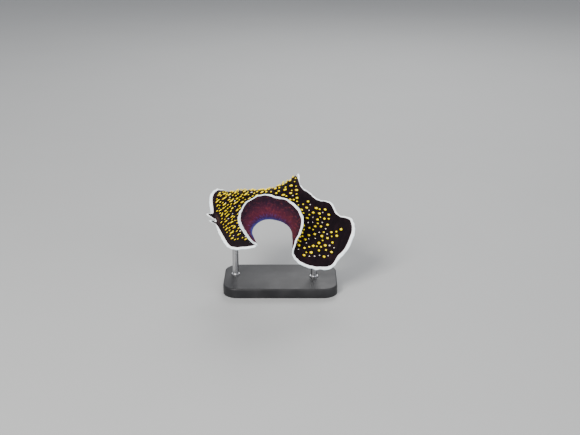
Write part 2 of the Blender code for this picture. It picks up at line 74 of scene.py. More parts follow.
MM = 0.001
BODY = "root"
FLAT_ABOVE = radians(32.0)
Array = np.ndarray
Colour = tuple[float, float, float]
Pair = tuple[float, float]
Numbers = Sequence[float]
Rows = Sequence[Numbers]
Object = bpy.types.Object
Material = bpy.types.Material
Socket = bpy.types.NodeSocket
Source = Union[Socket, float, Numbers]     # what may fill a socket
Value = Union[float, Array]


class Side(Enum):
    """Left and right half of the animal, as the sign of the place across it."""

    LEFT = -1.0
    RIGHT = 1.0


class Curve:
    """A smooth curve, straight at its ends, through values given at shares of the length."""

    def __init__(self, rows: Rows) -> None:
        """Solves the curve.

        Args:
            rows: a share of the length and the values there, from 0 to 1.
        """
        table = np.array(rows, float)
        self.shares = table[:, 0]
        self.values = table[:, 1:]
        self.steps = np.diff(self.shares)
        count = len(self.shares)
        matrix = np.eye(count)
        target = np.zeros((count, self.values.shape[1]))
        slopes = np.diff(self.values, axis=0) / self.steps[:, None]
        for i in range(1, count - 1):
            before, after = self.steps[i - 1], self.steps[i]
            matrix[i, i - 1:i + 2] = before, 2 * (before + after), after
            target[i] = 6 * (slopes[i] - slopes[i - 1])
        self.bends = np.linalg.solve(matrix, target)

    def _span(self, share: Array) -> tuple[Array, Array, Array, Array]:
        """Finds the stretch that each share is in.

        Args:
            share: places along the curve.

        Returns:
            The stretch's number, its length, and the weights of its start and of its end.
        """
        index = np.clip(np.searchsorted(self.shares, share, side="right") - 1, 0, len(self.steps) - 1)
        step = self.steps[index][:, None]
        start = (self.shares[index + 1][:, None] - share[:, None]) / step
        return index, step, start, 1 - start

    def at(self, share: Array) -> Array:
        """Reads the curve.

        Args:
            share: places along it.

        Returns:
            The values at each place.
        """
        index, step, a, b = self._span(share)
        bend = (a ** 3 - a) * self.bends[index] + (b ** 3 - b) * self.bends[index + 1]
        return a * self.values[index] + b * self.values[index + 1] + bend * step ** 2 / 6

    def slope(self, share: Array) -> Array:
        """Reads how the curve runs.

        Args:
            share: places along it.

        Returns:
            The change of the values per unit of share.
        """
        index, step, a, b = self._span(share)
        chord = (self.values[index + 1] - self.values[index]) / step
        bend = (1 - 3 * a ** 2) * self.bends[index] + (3 * b ** 2 - 1) * self.bends[index + 1]
        return chord + bend * step / 6


def unit(vectors: Array) -> Array:
    """The same directions, each of length 1."""
    return vectors / np.maximum(np.linalg.norm(vectors, axis=-1, keepdims=True), 1e-12)


def ease(value: Array, low: float, high: float) -> Array:
    """Goes smoothly from 0 at low to 1 at high."""
    part = np.clip((value - low) / (high - low), 0, 1)
    return part * part * (3 - 2 * part)


def soft_least(*distances: Array) -> Array:
    """Finds the least of several distances, with its corners rounded.

    Args:
        distances: the distances, alike in shape.

    Returns:
        The least one at each place, never below 0.
    """
    least = distances[0]
    for other in distances[1:]:
        least = least + other - np.sqrt(least ** 2 + other ** 2)
    return np.maximum(least, 0.0)


@dataclass
class Sheet:
    """The animal's folded middle surface, in millimetres, in the frame of the pose.

    Rows are (share of the length, right, away from the viewer, up), before the animal is pitched. A place
    on it is a share, 0 at the head and 1 at the tail, and an across, -1 at the left margin, 0 on the
    midline and 1 at the right margin.
    """

    midline: Rows = (
        (0.00, -25.9, 0.0, 0.6), (0.16, -21.0, 0.0, 3.4), (0.31, -13.2, 0.0, 6.4), (0.48, -3.8, 0.0, 7.8),
        (0.65, 7.2, 0.0, 4.8), (0.82, 17.6, 0.0, -2.4), (1.00, 28.8, 0.0, -7.8),
    )
    left_margin: Rows = (
        (0.00, -25.6, 0.0, -1.1), (0.07, -24.4, -2.5, -4.4), (0.12, -22.8, -4.4, -7.1),
        (0.16, -20.2, -6.0, -10.2), (0.20, -15.7, -6.8, -10.8), (0.25, -8.8, -8.8, -9.4),
        (0.28, -11.0, -11.0, -7.6), (0.31, -13.7, -13.0, -4.4), (0.38, -15.9, -15.5, 2.2),
        (0.43, -13.2, -15.6, 7.2),
        (0.50, -5.4, -15.0, 10.7), (0.545, 0.4, -14.8, 9.6), (0.58, 4.2, -14.5, 8.2),
        (0.65, 9.3, -12.5, 0.2), (0.73, 5.1, -9.0, -11.6), (0.79, 8.0, -7.2, -16.6),
        (0.86, 15.4, -5.6, -18.8), (0.91, 21.1, -4.0, -17.9),
        (0.945, 23.5, -2.8, -14.9), (0.975, 26.0, -1.6, -12.4), (1.00, 27.9, -0.8, -9.8),
    )
    right_margin: Rows = (
        (0.00, -27.6, 0.0, 3.6), (0.05, -28.3, 2.0, 6.6), (0.09, -28.5, 3.5, 9.4),
        (0.125, -27.7, 5.0, 11.9), (0.16, -25.5, 6.8, 13.4), (0.20, -22.2, 9.5, 12.5),
        (0.27, -17.6, 12.0, 9.8), (0.38, -10.6, 14.5, 7.2), (0.47, -3.6, 15.0, 7.6),
        (0.54, 3.2, 12.5, 13.6), (0.58, 7.5, 10.0, 19.7), (0.62, 7.5, 6.5, 16.4),
        (0.675, 11.6, 4.6, 12.2), (0.73, 15.8, 4.0, 9.0), (0.775, 19.6, 4.4, 8.4), (0.82, 22.2, 4.0, 5.6),
        (0.855, 23.8, 3.0, 2.8), (0.89, 26.9, 2.6, 2.2), (0.93, 29.3, 2.2, 0.6), (0.965, 30.1, 1.6, -2.4),
        (1.00, 29.8, 0.8, -5.6),
    )
    # share, reach of the cross slope to the left and to the right, part of it towards the viewer
    cross_slope: Rows = (
        (0.00, 2.5, 2.5, 0.3), (0.16, 13.0, 14.0, 0.4), (0.24, 22.0, 21.0, 0.43), (0.31, 28.0, 23.0, 0.45),
        (0.40, 28.0, 20.0, 0.42), (0.48, 28.0, 21.0, 0.4), (0.56, 28.0, 25.0, 0.4), (0.65, 28.0, 16.0, 0.4),
        (0.82, 18.0, 12.0, 0.35), (1.00, 3.0, 3.0, 0.3),
    )
    length: float = 62.0            # along the midline, for what is measured along it
    shares: Numbers = (0.0, 0.1, 0.3, 0.6, 0.85, 1.0)
    median_thickness: Numbers = (1.0, 1.9, 2.5, 2.4, 1.7, 0.8)
    margin_thickness: float = 0.62
    thinning: float = 1.6           # power by which it thins from the midline to the margin
    pitch: float = radians(20.0)
    middle: Numbers = (-0.071, -1.354, 28.2)
    inset_shares: Pair = (0.01, 0.985)
    inset_reach: float = 0.95
    least_skew: float = 0.4
    step: float = 1e-4              # of share and across, to read slopes by

    def __post_init__(self) -> None:
        """Solves the curves."""
        self.midline_curve = Curve(self.midline)
        self.left_curve = Curve(self.left_margin)
        self.right_curve = Curve(self.right_margin)
        self.slope_curve = Curve(self.cross_slope)
        self.to_world = Matrix.Translation(self.middle) @ Matrix.Rotation(-self.pitch, 4, "X")

    def point(self, share: Array, across: Array) -> Array:
        """Points of the middle surface.

        Args:
            share: place along the animal, 0 at the head and 1 at the tail.
            across: -1 at the left margin, 0 on the midline, 1 at the right margin.

        Returns:
            One point for each pair, in millimetres.
        """
        share, across = np.broadcast_arrays(np.asarray(share, float), np.asarray(across, float))
        shape = share.shape
        share = share.ravel()
        across = across.ravel()
        middle = self.midline_curve.at(share)
        viewer = np.array([0.0, -1.0, 0.0])
        down = unit(np.cross(viewer, self.midline_curve.slope(share)))
        down = np.where(down[:, 2:3] > 0, -down, down)
        left_reach, right_reach, lean = self.slope_curve.at(share).T[:, :, None]
        direction = down * np.sqrt(1 - lean ** 2) + viewer * lean
        part = np.abs(across)[:, None]
        left = self.left_curve.at(share) - middle - direction * left_reach
        right = self.right_curve.at(share) - middle + direction * right_reach
        left = middle + part * direction * left_reach + part ** 2 * left
        right = middle - part * direction * right_reach + part ** 2 * right
        return np.where(across[:, None] < 0, left, right).reshape(shape + (3,))

    def slopes(self, share: Array, across: Array) -> tuple[Array, Array]:
        """Reads how the sheet runs.

        Args:
            share: place along the animal.
            across: place across it.

        Returns:
            The change of the point per unit of share, and per unit of across.
        """
        share, across = np.broadcast_arrays(np.asarray(share, float), np.asarray(across, float))
        low, high = np.clip(share - self.step, 0, 1), np.clip(share + self.step, 0, 1)
        along = (self.point(high, across) - self.point(low, across)) / (high - low)[..., None]
        low, high = np.clip(across - self.step, -1, 1), np.clip(across + self.step, -1, 1)
        outward = (self.point(share, high) - self.point(share, low)) / (high - low)[..., None]
        return along, outward

    def normal(self, share: Array, across: Array) -> Array:
        """Reads which way the back faces.

        Args:
            share: place along the animal.
            across: place across it.

        Returns:
            Unit normals, read inside the corners, where ribs and margins run alike.
        """
        share = np.clip(share, *self.inset_shares)
        along, outward = self.slopes(share, np.clip(across, -self.inset_reach, self.inset_reach))
        return unit(np.cross(along, outward))

    def spread(self, share: Array, across: Array) -> Array:
        """Measures how wide the sheet is.

        Args:
            share: place along the animal.
            across: place across it.

        Returns:
            Millimetres that a unit of across covers, square to the midline's run.
        """
        along, outward = self.slopes(share, across)
        skew = np.linalg.norm(np.cross(unit(along), unit(outward)), axis=-1)
        return np.linalg.norm(outward, axis=-1) * np.maximum(skew, self.least_skew)

    def thickness(self, share: Array, across: Array) -> Array:
        """Thickness of the sheet, most along the midline."""
        median = np.interp(share, self.shares, self.median_thickness) - self.margin_thickness
        return self.margin_thickness + median * (1 - np.abs(across) ** self.thinning)

    def face(self, share: Array, across: Array, up: float = 1.0) -> Array:
        """Points of the back or, where up is -1, of the underside."""
        rise = up * self.normal(share, across) * self.thickness(share, across)[..., None] / 2
        return self.point(share, across) + rise

    def world(self, points: Array) -> Array:
        """Moves points from the frame of the pose into the world, in millimetres."""
        turn = np.array(self.to_world)
        return points @ turn[:3, :3].T + turn[:3, 3]


class Graph:
    """A material's node tree, with short calls for the nodes that the finishes share."""

    def __init__(self, name: str) -> None:
        """Makes a material.

        Args:
            name: the material's name.
        """
        self.material = bpy.data.materials.new(name)
        self.material.use_nodes = True
        self.tree = self.material.node_tree
        self.shader = self.tree.nodes["Principled BSDF"]

    def plug(self, target: Socket, source: Source) -> None:
        """Fills a socket.

        Args:
            target: the socket.
            source: another node's socket to link, or a number, vector or colour to set.
        """
        if isinstance(source, Socket):
            self.tree.links.new(source, target)
        else:
            target.default_value = (*source, 1.0) if target.type == "RGBA" else source

    def node(self, kind: str, inputs: dict[Union[str, int], Source], **settings: str) -> bpy.types.Node:
        """Adds a node.

        Args:
            kind: the type of the node.
            inputs: what fills its sockets, by their name or number.
            settings: its other properties.

        Returns:
            The new node.
        """
        made = self.tree.nodes.new(kind)
        for key, value in settings.items():
            setattr(made, key, value)
        for key, value in inputs.items():
            self.plug(made.inputs[key], value)
        return made

    def attribute(self, name: str) -> Socket:
        """A number that each vertex carries."""
        return self.node("ShaderNodeAttribute", {}, attribute_name=name).outputs["Fac"]

    def place(self, uv_map: Optional[str] = None, scale: Numbers = (1.0, 1.0, 1.0)) -> Socket:
        """Gives the coordinates that a pattern is laid out by.

        Args:
            uv_map: name of a UV map, or None for object coordinates.
            scale: factor along each axis.

        Returns:
            The scaled coordinates.
        """
        if uv_map:
            source = self.node("ShaderNodeUVMap", {}, uv_map=uv_map).outputs["UV"]
        else:
            source = self.node("ShaderNodeTexCoord", {}).outputs["Object"]
        return self.node("ShaderNodeMapping", {"Vector": source, "Scale": scale}).outputs["Vector"]

    def noise(self, vector: Socket, scale: float, detail: float = 3.0, roughness: float = 0.55) -> Socket:
        """Cloudy noise from 0 to 1."""
        inputs = {"Vector": vector, "Scale": scale, "Detail": detail, "Roughness": roughness}
        return self.node("ShaderNodeTexNoise", inputs).outputs["Fac"]

    def cells(self, vector: Socket, scale: float) -> Socket:
        """Distance to the nearest of many scattered points."""
        return self.node("ShaderNodeTexVoronoi", {"Vector": vector, "Scale": scale}).outputs["Distance"]

    def math(self, operation: str, first: Source, second: Source) -> Socket:
        """One operation on two numbers, each plain or linked."""
        return self.node("ShaderNodeMath", {0: first, 1: second}, operation=operation).outputs[0]

    def add(self, first: Source, second: Source) -> Socket:
        """The sum of two numbers."""
        return self.math("ADD", first, second)

    def times(self, first: Source, second: Source) -> Socket:
        """The product of two numbers."""
        return self.math("MULTIPLY", first, second)

    def wander(self, noise: Socket, reach: float) -> Socket:
        """A noise that goes up and down about 0."""
        return self.times(self.math("SUBTRACT", noise, 0.5), reach)

    def band(self, value: Socket, low: float, high: float, start: float = 0.0, end: float = 1.0) -> Socket:
        """Goes smoothly from start to end as the value goes from low to high."""
        inputs = {"Value": value, "From Min": low, "From Max": high, "To Min": start, "To Max": end}
        return self.node("ShaderNodeMapRange", inputs, interpolation_type="SMOOTHSTEP").outputs["Result"]

    def mix(self, factor: Source, first: Source, second: Source) -> Socket:
        """Mixes two colours."""
        return self.node("ShaderNodeMix", {0: factor, 6: first, 7: second}, data_type="RGBA").outputs[2]

    def ramp(self, factor: Socket, stops: Sequence[tuple[float, Colour]]) -> Socket:
        """Makes colours follow a number.

        Args:
            factor: the number, from 0 to 1.
            stops: the colours and where they stand.

        Returns:
            The colour.
        """
        made = self.node("ShaderNodeValToRGB", {"Fac": factor})
        elements = made.color_ramp.elements
        while len(elements) < len(stops):
            elements.new(1.0)
        for element, (position, colour) in zip(elements, stops):
            element.position = position
            element.color = (*colour, 1.0)
        return made.outputs["Color"]

    def relief(self, height: Socket, distance: float, strength: float) -> None:
        """Gives the surface a fine relief: metres between a height of 0 and 1, and how much of it shows."""
        bump = self.node("ShaderNodeBump", {"Strength": strength, "Distance": distance, "Height": height})
        self.plug(self.shader.inputs["Normal"], bump.outputs["Normal"])

    def surface(self, colour: Source, roughness: Source, **others: float) -> Material:
        """Sets the shader.

        Args:
            colour: base colour, plain or linked.
            roughness: plain or linked.
            others: further sockets of the shader by name, with low lines for spaces.

        Returns:
            The finished material.
        """
        self.plug(self.shader.inputs["Base Color"], colour)
        self.plug(self.shader.inputs["Roughness"], roughness)
        for key, value in others.items():
            self.plug(self.shader.inputs[key.replace("_", " ").title().replace("Ior", "IOR")], value)
        return self.material


@dataclass(frozen=True)
class SkinFinish:
    """Black velvet back, purple underside with painted blue sheen, and white margin with painted shade."""

    back: Colour = (0.0032, 0.0012, 0.0025)
    back_cloud: Colour = (0.0085, 0.0030, 0.0050)
    white: Colour = (0.88, 0.91, 0.92)
    # cyan painted shade for the white margin: at its rounded edge, in its flutes and in blotches
    white_painted_shade: Colour = (0.52, 0.68, 0.78)
    line: Colour = (0.050, 0.007, 0.004)
    nape: Colour = (0.060, 0.030, 0.022)
    lips: Colour = (0.20, 0.10, 0.11)
    # blue-violet streaks of painted sheen, reaching in from the underside's contour
    sheen_ray: Colour = (0.060, 0.050, 0.260)
    blotch: Colour = (0.20, 0.035, 0.030)
    streak: Colour = (0.016, 0.006, 0.022)
    pore: Colour = (0.24, 0.060, 0.070)
    # underside colours in the throat by depth: dark next to the margin, red further in; the blue band from
    # about 0.40 to 0.56 is painted sheen where the underside turns away at its contour
    throat_and_sheen_stops: Sequence[tuple[float, Colour]] = (
        (0.00, (0.010, 0.004, 0.007)), (0.07, (0.015, 0.006, 0.013)), (0.15, (0.046, 0.010, 0.022)),
        (0.26, (0.085, 0.014, 0.028)), (0.34, (0.056, 0.014, 0.048)), (0.40, (0.045, 0.034, 0.170)),
        (0.46, (0.075, 0.085, 0.400)), (0.56, (0.030, 0.020, 0.080)), (0.70, (0.020, 0.009, 0.026)),
        (1.00, (0.024, 0.010, 0.024)),
    )
    belly_stops: Sequence[tuple[float, Colour]] = (
        (0.00, (0.010, 0.004, 0.007)), (0.07, (0.016, 0.006, 0.011)), (0.18, (0.040, 0.009, 0.015)),
        (0.32, (0.062, 0.012, 0.020)), (0.50, (0.034, 0.011, 0.026)), (1.00, (0.018, 0.008, 0.018)),
    )
    # noises: scale, detail and roughness, or the scales along and across the body
    waves: Numbers = (900.0, 4.0)
    fine: Numbers = (4200.0, 4.0, 0.6)
    cloud: Numbers = (260.0, 5.0, 0.62)
    streak_scale: Numbers = (260.0, 26.0, 1.0)
    streak_noise: Numbers = (1.0, 4.0, 0.6)
    fluting_scale: Numbers = (700.0, 60.0, 1.0)
    fluting_noise: Numbers = (1.0, 3.0, 0.6)
    pore_scale: float = 1900.0
    # bands: from and to on the noise or the body, and the strengths there if not 0 and 1
    cloud_band: Numbers = (0.42, 0.72)
    blotch_band: Numbers = (0.50, 0.80, 0.0, 0.5)
    streak_band: Numbers = (0.50, 0.72, 0.0, 0.55)
    # where the streaks of painted blue sheen show: on the streak noise, and by depth towards the contour
    sheen_ray_band: Numbers = (0.50, 0.32)
    sheen_ray_depth: Numbers = (0.20, 0.38)
    pore_band: Numbers = (0.0, 0.30, 0.25, 0.0)
    line_inner: Numbers = (0.98, 1.04)
    line_outer: Numbers = (1.06, 1.22, 1.0, 0.0)
    # painted shade on the white margin: towards its rounded edge, in noise blotches and in the flutes
    edge_painted_shade: Numbers = (0.35, 0.0, 0.0, 0.45)
    wave_painted_shade: Numbers = (0.50, 0.72, 0.0, 0.5)
    fluting_painted_shade: Numbers = (0.50, 0.75, 0.0, 0.35)
    white_band: Numbers = (0.96, 1.04, 1.0, 0.0)
    borders: float = 0.10           # how far the waves move the borders of the colours
    nape_strength: float = 0.55
    sheen_ray_strength: float = 0.75
    line_strength: float = 0.7
    roughness: Pair = (0.62, 0.42)  # of the flesh and of the white margin
    relief: Pair = (0.00006, 0.7)
    gloss: float = 0.06

    def material(self) -> Material:
        """Builds the material, which reads the numbers that the skin's vertices carry.

        Returns:
            The finished material.
        """
        graph = Graph("velvet_skin")
        place = graph.place()
        waves = graph.noise(place, *self.waves)
        fluting = graph.noise(graph.place("skin", self.fluting_scale), *self.fluting_noise)
        cloud = graph.band(graph.noise(place, *self.cloud), *self.cloud_band)
        top = graph.mix(cloud, self.back, self.back_cloud)
        top = graph.mix(graph.times(graph.attribute("nape"), self.nape_strength), top, self.nape)
        under = self._underside(graph, place, waves)
        body = graph.mix(graph.band(graph.attribute("back"), 0.45, 0.55), under, top)
        edge = graph.add(graph.attribute("rim"), graph.wander(waves, self.borders))
        line = graph.times(graph.band(edge, *self.line_inner), graph.band(edge, *self.line_outer))
        body = graph.mix(graph.times(line, self.line_strength), body, self.line)
        # painted shade on the white margin, in cyan: at its rounded edge, in blotches and in its flutes
        shade = graph.add(graph.band(edge, *self.edge_painted_shade), graph.band(waves, *self.wave_painted_shade))
        shade = graph.add(shade, graph.band(fluting, *self.fluting_painted_shade))
        whiteness = graph.band(edge, *self.white_band)
        colour = graph.mix(whiteness, body, graph.mix(shade, self.white, self.white_painted_shade))
        graph.relief(graph.add(graph.noise(place, *self.fine), graph.add(waves, fluting)), *self.relief)
        roughness = graph.band(whiteness, 0.0, 1.0, *self.roughness)
        return graph.surface(colour, roughness, specular_ior_level=self.gloss)

    def _underside(self, graph: Graph, place: Socket, waves: Socket) -> Socket:
        """Colours the underside by how far in from the margin it lies, with a painted blue sheen along its
        contour.

        Args:
            graph: the material's node tree.
            place: object coordinates.
            waves: the noise that moves the borders of the colours.

        Returns:
            The colour.
        """
        streak = graph.noise(graph.place("skin", self.streak_scale), *self.streak_noise)
        depth = graph.add(graph.attribute("depth"), graph.wander(waves, self.borders))
        throat = graph.attribute("throat")
        # in the throat these stops carry the painted blue sheen along the contour
        under = graph.mix(throat, graph.ramp(depth, self.belly_stops), graph.ramp(depth, self.throat_and_sheen_stops))
        under = graph.mix(graph.band(waves, *self.blotch_band), under, self.blotch)
        under = graph.mix(graph.band(streak, *self.streak_band), under, self.streak)
        # streaks of painted blue sheen, reaching from the contour towards the margin
        sheen_ray = graph.times(graph.band(streak, *self.sheen_ray_band), graph.band(depth, *self.sheen_ray_depth))
        sheen_ray = graph.times(sheen_ray, graph.times(throat, self.sheen_ray_strength))
        under = graph.mix(sheen_ray, under, self.sheen_ray)
        pores = graph.band(graph.cells(place, self.pore_scale), *self.pore_band)
        return graph.mix(graph.attribute("lips"), graph.mix(pores, under, self.pore), self.lips)


@dataclass(frozen=True)
class PapillaFinish:
    """Dark stalks that turn golden yellow, or pale on some of the small ones, towards the tip."""

    root: Colour = (0.0035, 0.0015, 0.0022)
    stops: Sequence[tuple[float, Colour]] = (
        (0.14, (0.045, 0.034, 0.006)), (0.24, (0.40, 0.18, 0.0)), (0.36, (0.76, 0.53, 0.0)),
        (0.62, (0.84, 0.66, 0.0)),
    )
    pale: Colour = (0.86, 0.74, 0.62)
    pale_band: Pair = (0.16, 0.42)
    grain: Numbers = (5200.0, 3.0)
    borders: float = 0.16
    relief: Pair = (0.00003, 0.5)
    roughness: float = 0.55
    gloss: float = 0.08

    def material(self) -> Material:
        """Builds the papillae's material, which follows the height on each of them.

        Returns:
            The finished material.
        """
        graph = Graph("gold_papilla")
        grain = graph.noise(graph.place(), *self.grain)
        level = graph.add(graph.attribute("rise"), graph.wander(grain, self.borders))
        level = graph.math("SUBTRACT", level, graph.attribute("onset"))
        gold = graph.ramp(level, ((0.02, self.root), *self.stops))
        pale = graph.mix(graph.band(level, *self.pale_band), self.root, self.pale)
        graph.relief(grain, *self.relief)
        colour = graph.mix(graph.attribute("pale"), gold, pale)
        return graph.surface(colour, self.roughness, specular_ior_level=self.gloss)


@dataclass(frozen=True)
class EyeFinish:
    """Glossy black eye specks."""

    colours: tuple[Colour, Colour] = ((0.002, 0.002, 0.003), (0.006, 0.004, 0.004))
    grain_scale: float = 9000.0
    roughness: float = 0.12
    coat: float = 0.6

    def material(self) -> Material:
        """Builds the specks' material.

        Returns:
            The finished material.
        """
        graph = Graph("eye_speck")
        tone = graph.mix(graph.noise(graph.place(), self.grain_scale), *self.colours)
        return graph.surface(tone, self.roughness, coat_weight=self.coat)


@dataclass(frozen=True)
class BaseFinish:
    """Satin black stand base with a faint grain."""

    colours: tuple[Colour, Colour] = ((0.010, 0.010, 0.011), (0.018, 0.018, 0.019))
    cloud: Pair = (120.0, 5.0)
    cloud_band: Pair = (0.35, 0.7)
    grain: Pair = (3800.0, 2.0)
    relief: Pair = (0.00003, 0.5)
    roughness_band: Numbers = (0.3, 0.7, 0.42, 0.54)
    gloss: float = 0.22

    def material(self) -> Material:
        """Builds the base's material.

        Returns:
            The finished material.
        """
        graph = Graph("satin_base")
        place = graph.place()
        cloud = graph.noise(place, *self.cloud)
        graph.relief(graph.noise(place, *self.grain), *self.relief)
        colour = graph.mix(graph.band(cloud, *self.cloud_band), *self.colours)
        return graph.surface(colour, graph.band(cloud, *self.roughness_band), specular_ior_level=self.gloss)


@dataclass(frozen=True)
class RodFinish:
    """Brushed steel, with the lines running up the rod."""

    colours: tuple[Colour, Colour] = ((0.40, 0.40, 0.41), (0.56, 0.56, 0.57))
    stretch: Numbers = (1.0, 1.0, 0.02)
    lines: Pair = (5200.0, 3.0)
    cloud: Pair = (300.0, 3.0)
    relief: Pair = (0.00002, 0.4)
    roughness_band: Numbers = (0.3, 0.7, 0.26, 0.38)

    def material(self) -> Material:
        """Builds the rods' material.

        Returns:
            The finished material.
        """
        graph = Graph("brushed_rod")
        lines = graph.noise(graph.place(scale=self.stretch), *self.lines)
        cloud = graph.noise(graph.place(), *self.cloud)
        graph.relief(lines, *self.relief)
        roughness = graph.band(cloud, *self.roughness_band)
        return graph.surface(graph.mix(lines, *self.colours), roughness, metallic=1.0)


@dataclass(frozen=True)
class FloorFinish:
    """Plain pale floor."""

    colours: tuple[Colour, Colour] = ((0.29, 0.293, 0.29), (0.27, 0.273, 0.27))
    cloud: Pair = (14.0, 3.0)
    cloud_band: Numbers = (0.3, 0.7, 0.0, 0.25)
    roughness: float = 0.7

    def material(self) -> Material:
        """Builds the floor's material.

        Returns:
            The finished material.
        """
        graph = Graph("pale_floor")
        cloud = graph.band(graph.noise(graph.place(), *self.cloud), *self.cloud_band)
        return graph.surface(graph.mix(cloud, *self.colours), self.roughness)


def put_in_scene(name: str, data: bpy.types.ID) -> Object:
    """Makes an object of a mesh, light or camera.

    Args:
        name: name of the object.
        data: what it shows.

    Returns:
        The object, in the scene.
    """
    made = bpy.data.objects.new(name, data)
    bpy.context.scene.collection.objects.link(made)
    return made


def make_object(name: str, bm: bmesh.types.BMesh, material: Material) -> Object:
    """Turns a bmesh into an object.

    Args:
        name: name of the object.
        bm: its mesh, in metres, in place.
        material: its finish.

    Returns:
        The object, in the scene.
    """
    mesh = bpy.data.meshes.new(name)
    bm.to_mesh(mesh)
    bm.free()
    mesh.materials.append(material)
    return put_in_scene(name, mesh)


def add_piece(name: str, bm: bmesh.types.BMesh, material: Material,
              replaced: Iterable[str] = (), flat_above: Optional[float] = None) -> Object:
    """Turns a bmesh into a smooth piece that rides on the model's one body.

    Args:
        name: name of the piece.
        bm: its mesh, in metres, in place.
        material: its finish.
        replaced: the solids that it stands for.
        flat_above: angle between two faces from which their edge is sharp.

    Returns:
        The new object.
    """
    piece = make_object(name, bm, material)
    piece.data.shade_smooth()
    if flat_above:
        piece.data.set_sharp_from_angle(angle=flat_above)
    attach(piece, BODY)
    if replaced:
        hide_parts(*replaced)
    LOG.info("%s: %d faces", name, len(piece.data.polygons))
    return piece


@dataclass
class Tentacle:
    """One pseudotentacle, a folded ear of the front margin."""

    side: Side
    tip: Numbers
    white: Numbers          # width of the white edge: inner, outer, at the tip
    tip_width: float = 0.62
    ridge: float = 0.30             # share of its width that the fold stands up
    ridge_run: float = 1.3          # power by which the fold gathers towards the middle of its length
    thickness: Pair = (0.55, 0.30)
    curl: float = 0.35              # millimetres that the tip is drawn up
    rounded: float = 0.72           # share of its length where the tip begins to round off
    least_end: float = 0.05         # share of the width that is left at the very tip
    turned: float = 0.35            # share of its length where it has left the sheet's own run

    def fold(self, sheet: Sheet, notch: float, reach: Array, place: Array) -> Array:
        """Points of the fold's middle surface.

        Args:
            sheet: the animal's middle surface.
            notch: across of the inner end of the root.
            reach: 0 at the root and 1 at the tip.
            place: 0 at the inner edge and 1 at the outer one.

        Returns:
            The points, in millimetres, in the frame of the pose.
        """
        sign = self.side.value
        tip = np.array(self.tip)
        edge = sheet.point(np.zeros_like(reach), sign * (notch + (1 - notch) * place))
        ends = sheet.point(np.zeros(2), sign * np.array([notch, 1.0]))
        root = ends.mean(axis=0)
        root_width = float(np.linalg.norm(ends[1] - ends[0]))
        back = unit(sheet.normal(np.zeros(1), np.array([sign * (1 + notch) / 2]))[0])
        end = tip + np.outer((place - 0.5) * self.tip_width, unit(ends[1] - ends[0]))
        width = root_width + (self.tip_width - root_width) * reach
        along = np.sin(pi * np.clip(reach, 0, 1)) ** self.ridge_run
        lift = self.ridge * width * (1 - (2 * place - 1) ** 2) * along + self.curl * reach ** 3
        flat = edge + (end - edge) * reach[:, None]
        centre = root + (tip - root) * reach[:, None]
        last = np.clip((reach - self.rounded) / (1 - self.rounded), 0, 1)
        narrowed = np.maximum(np.sqrt(1 - last ** 2), self.least_end)
        return centre + (flat - centre) * narrowed[:, None] + back * lift[:, None]


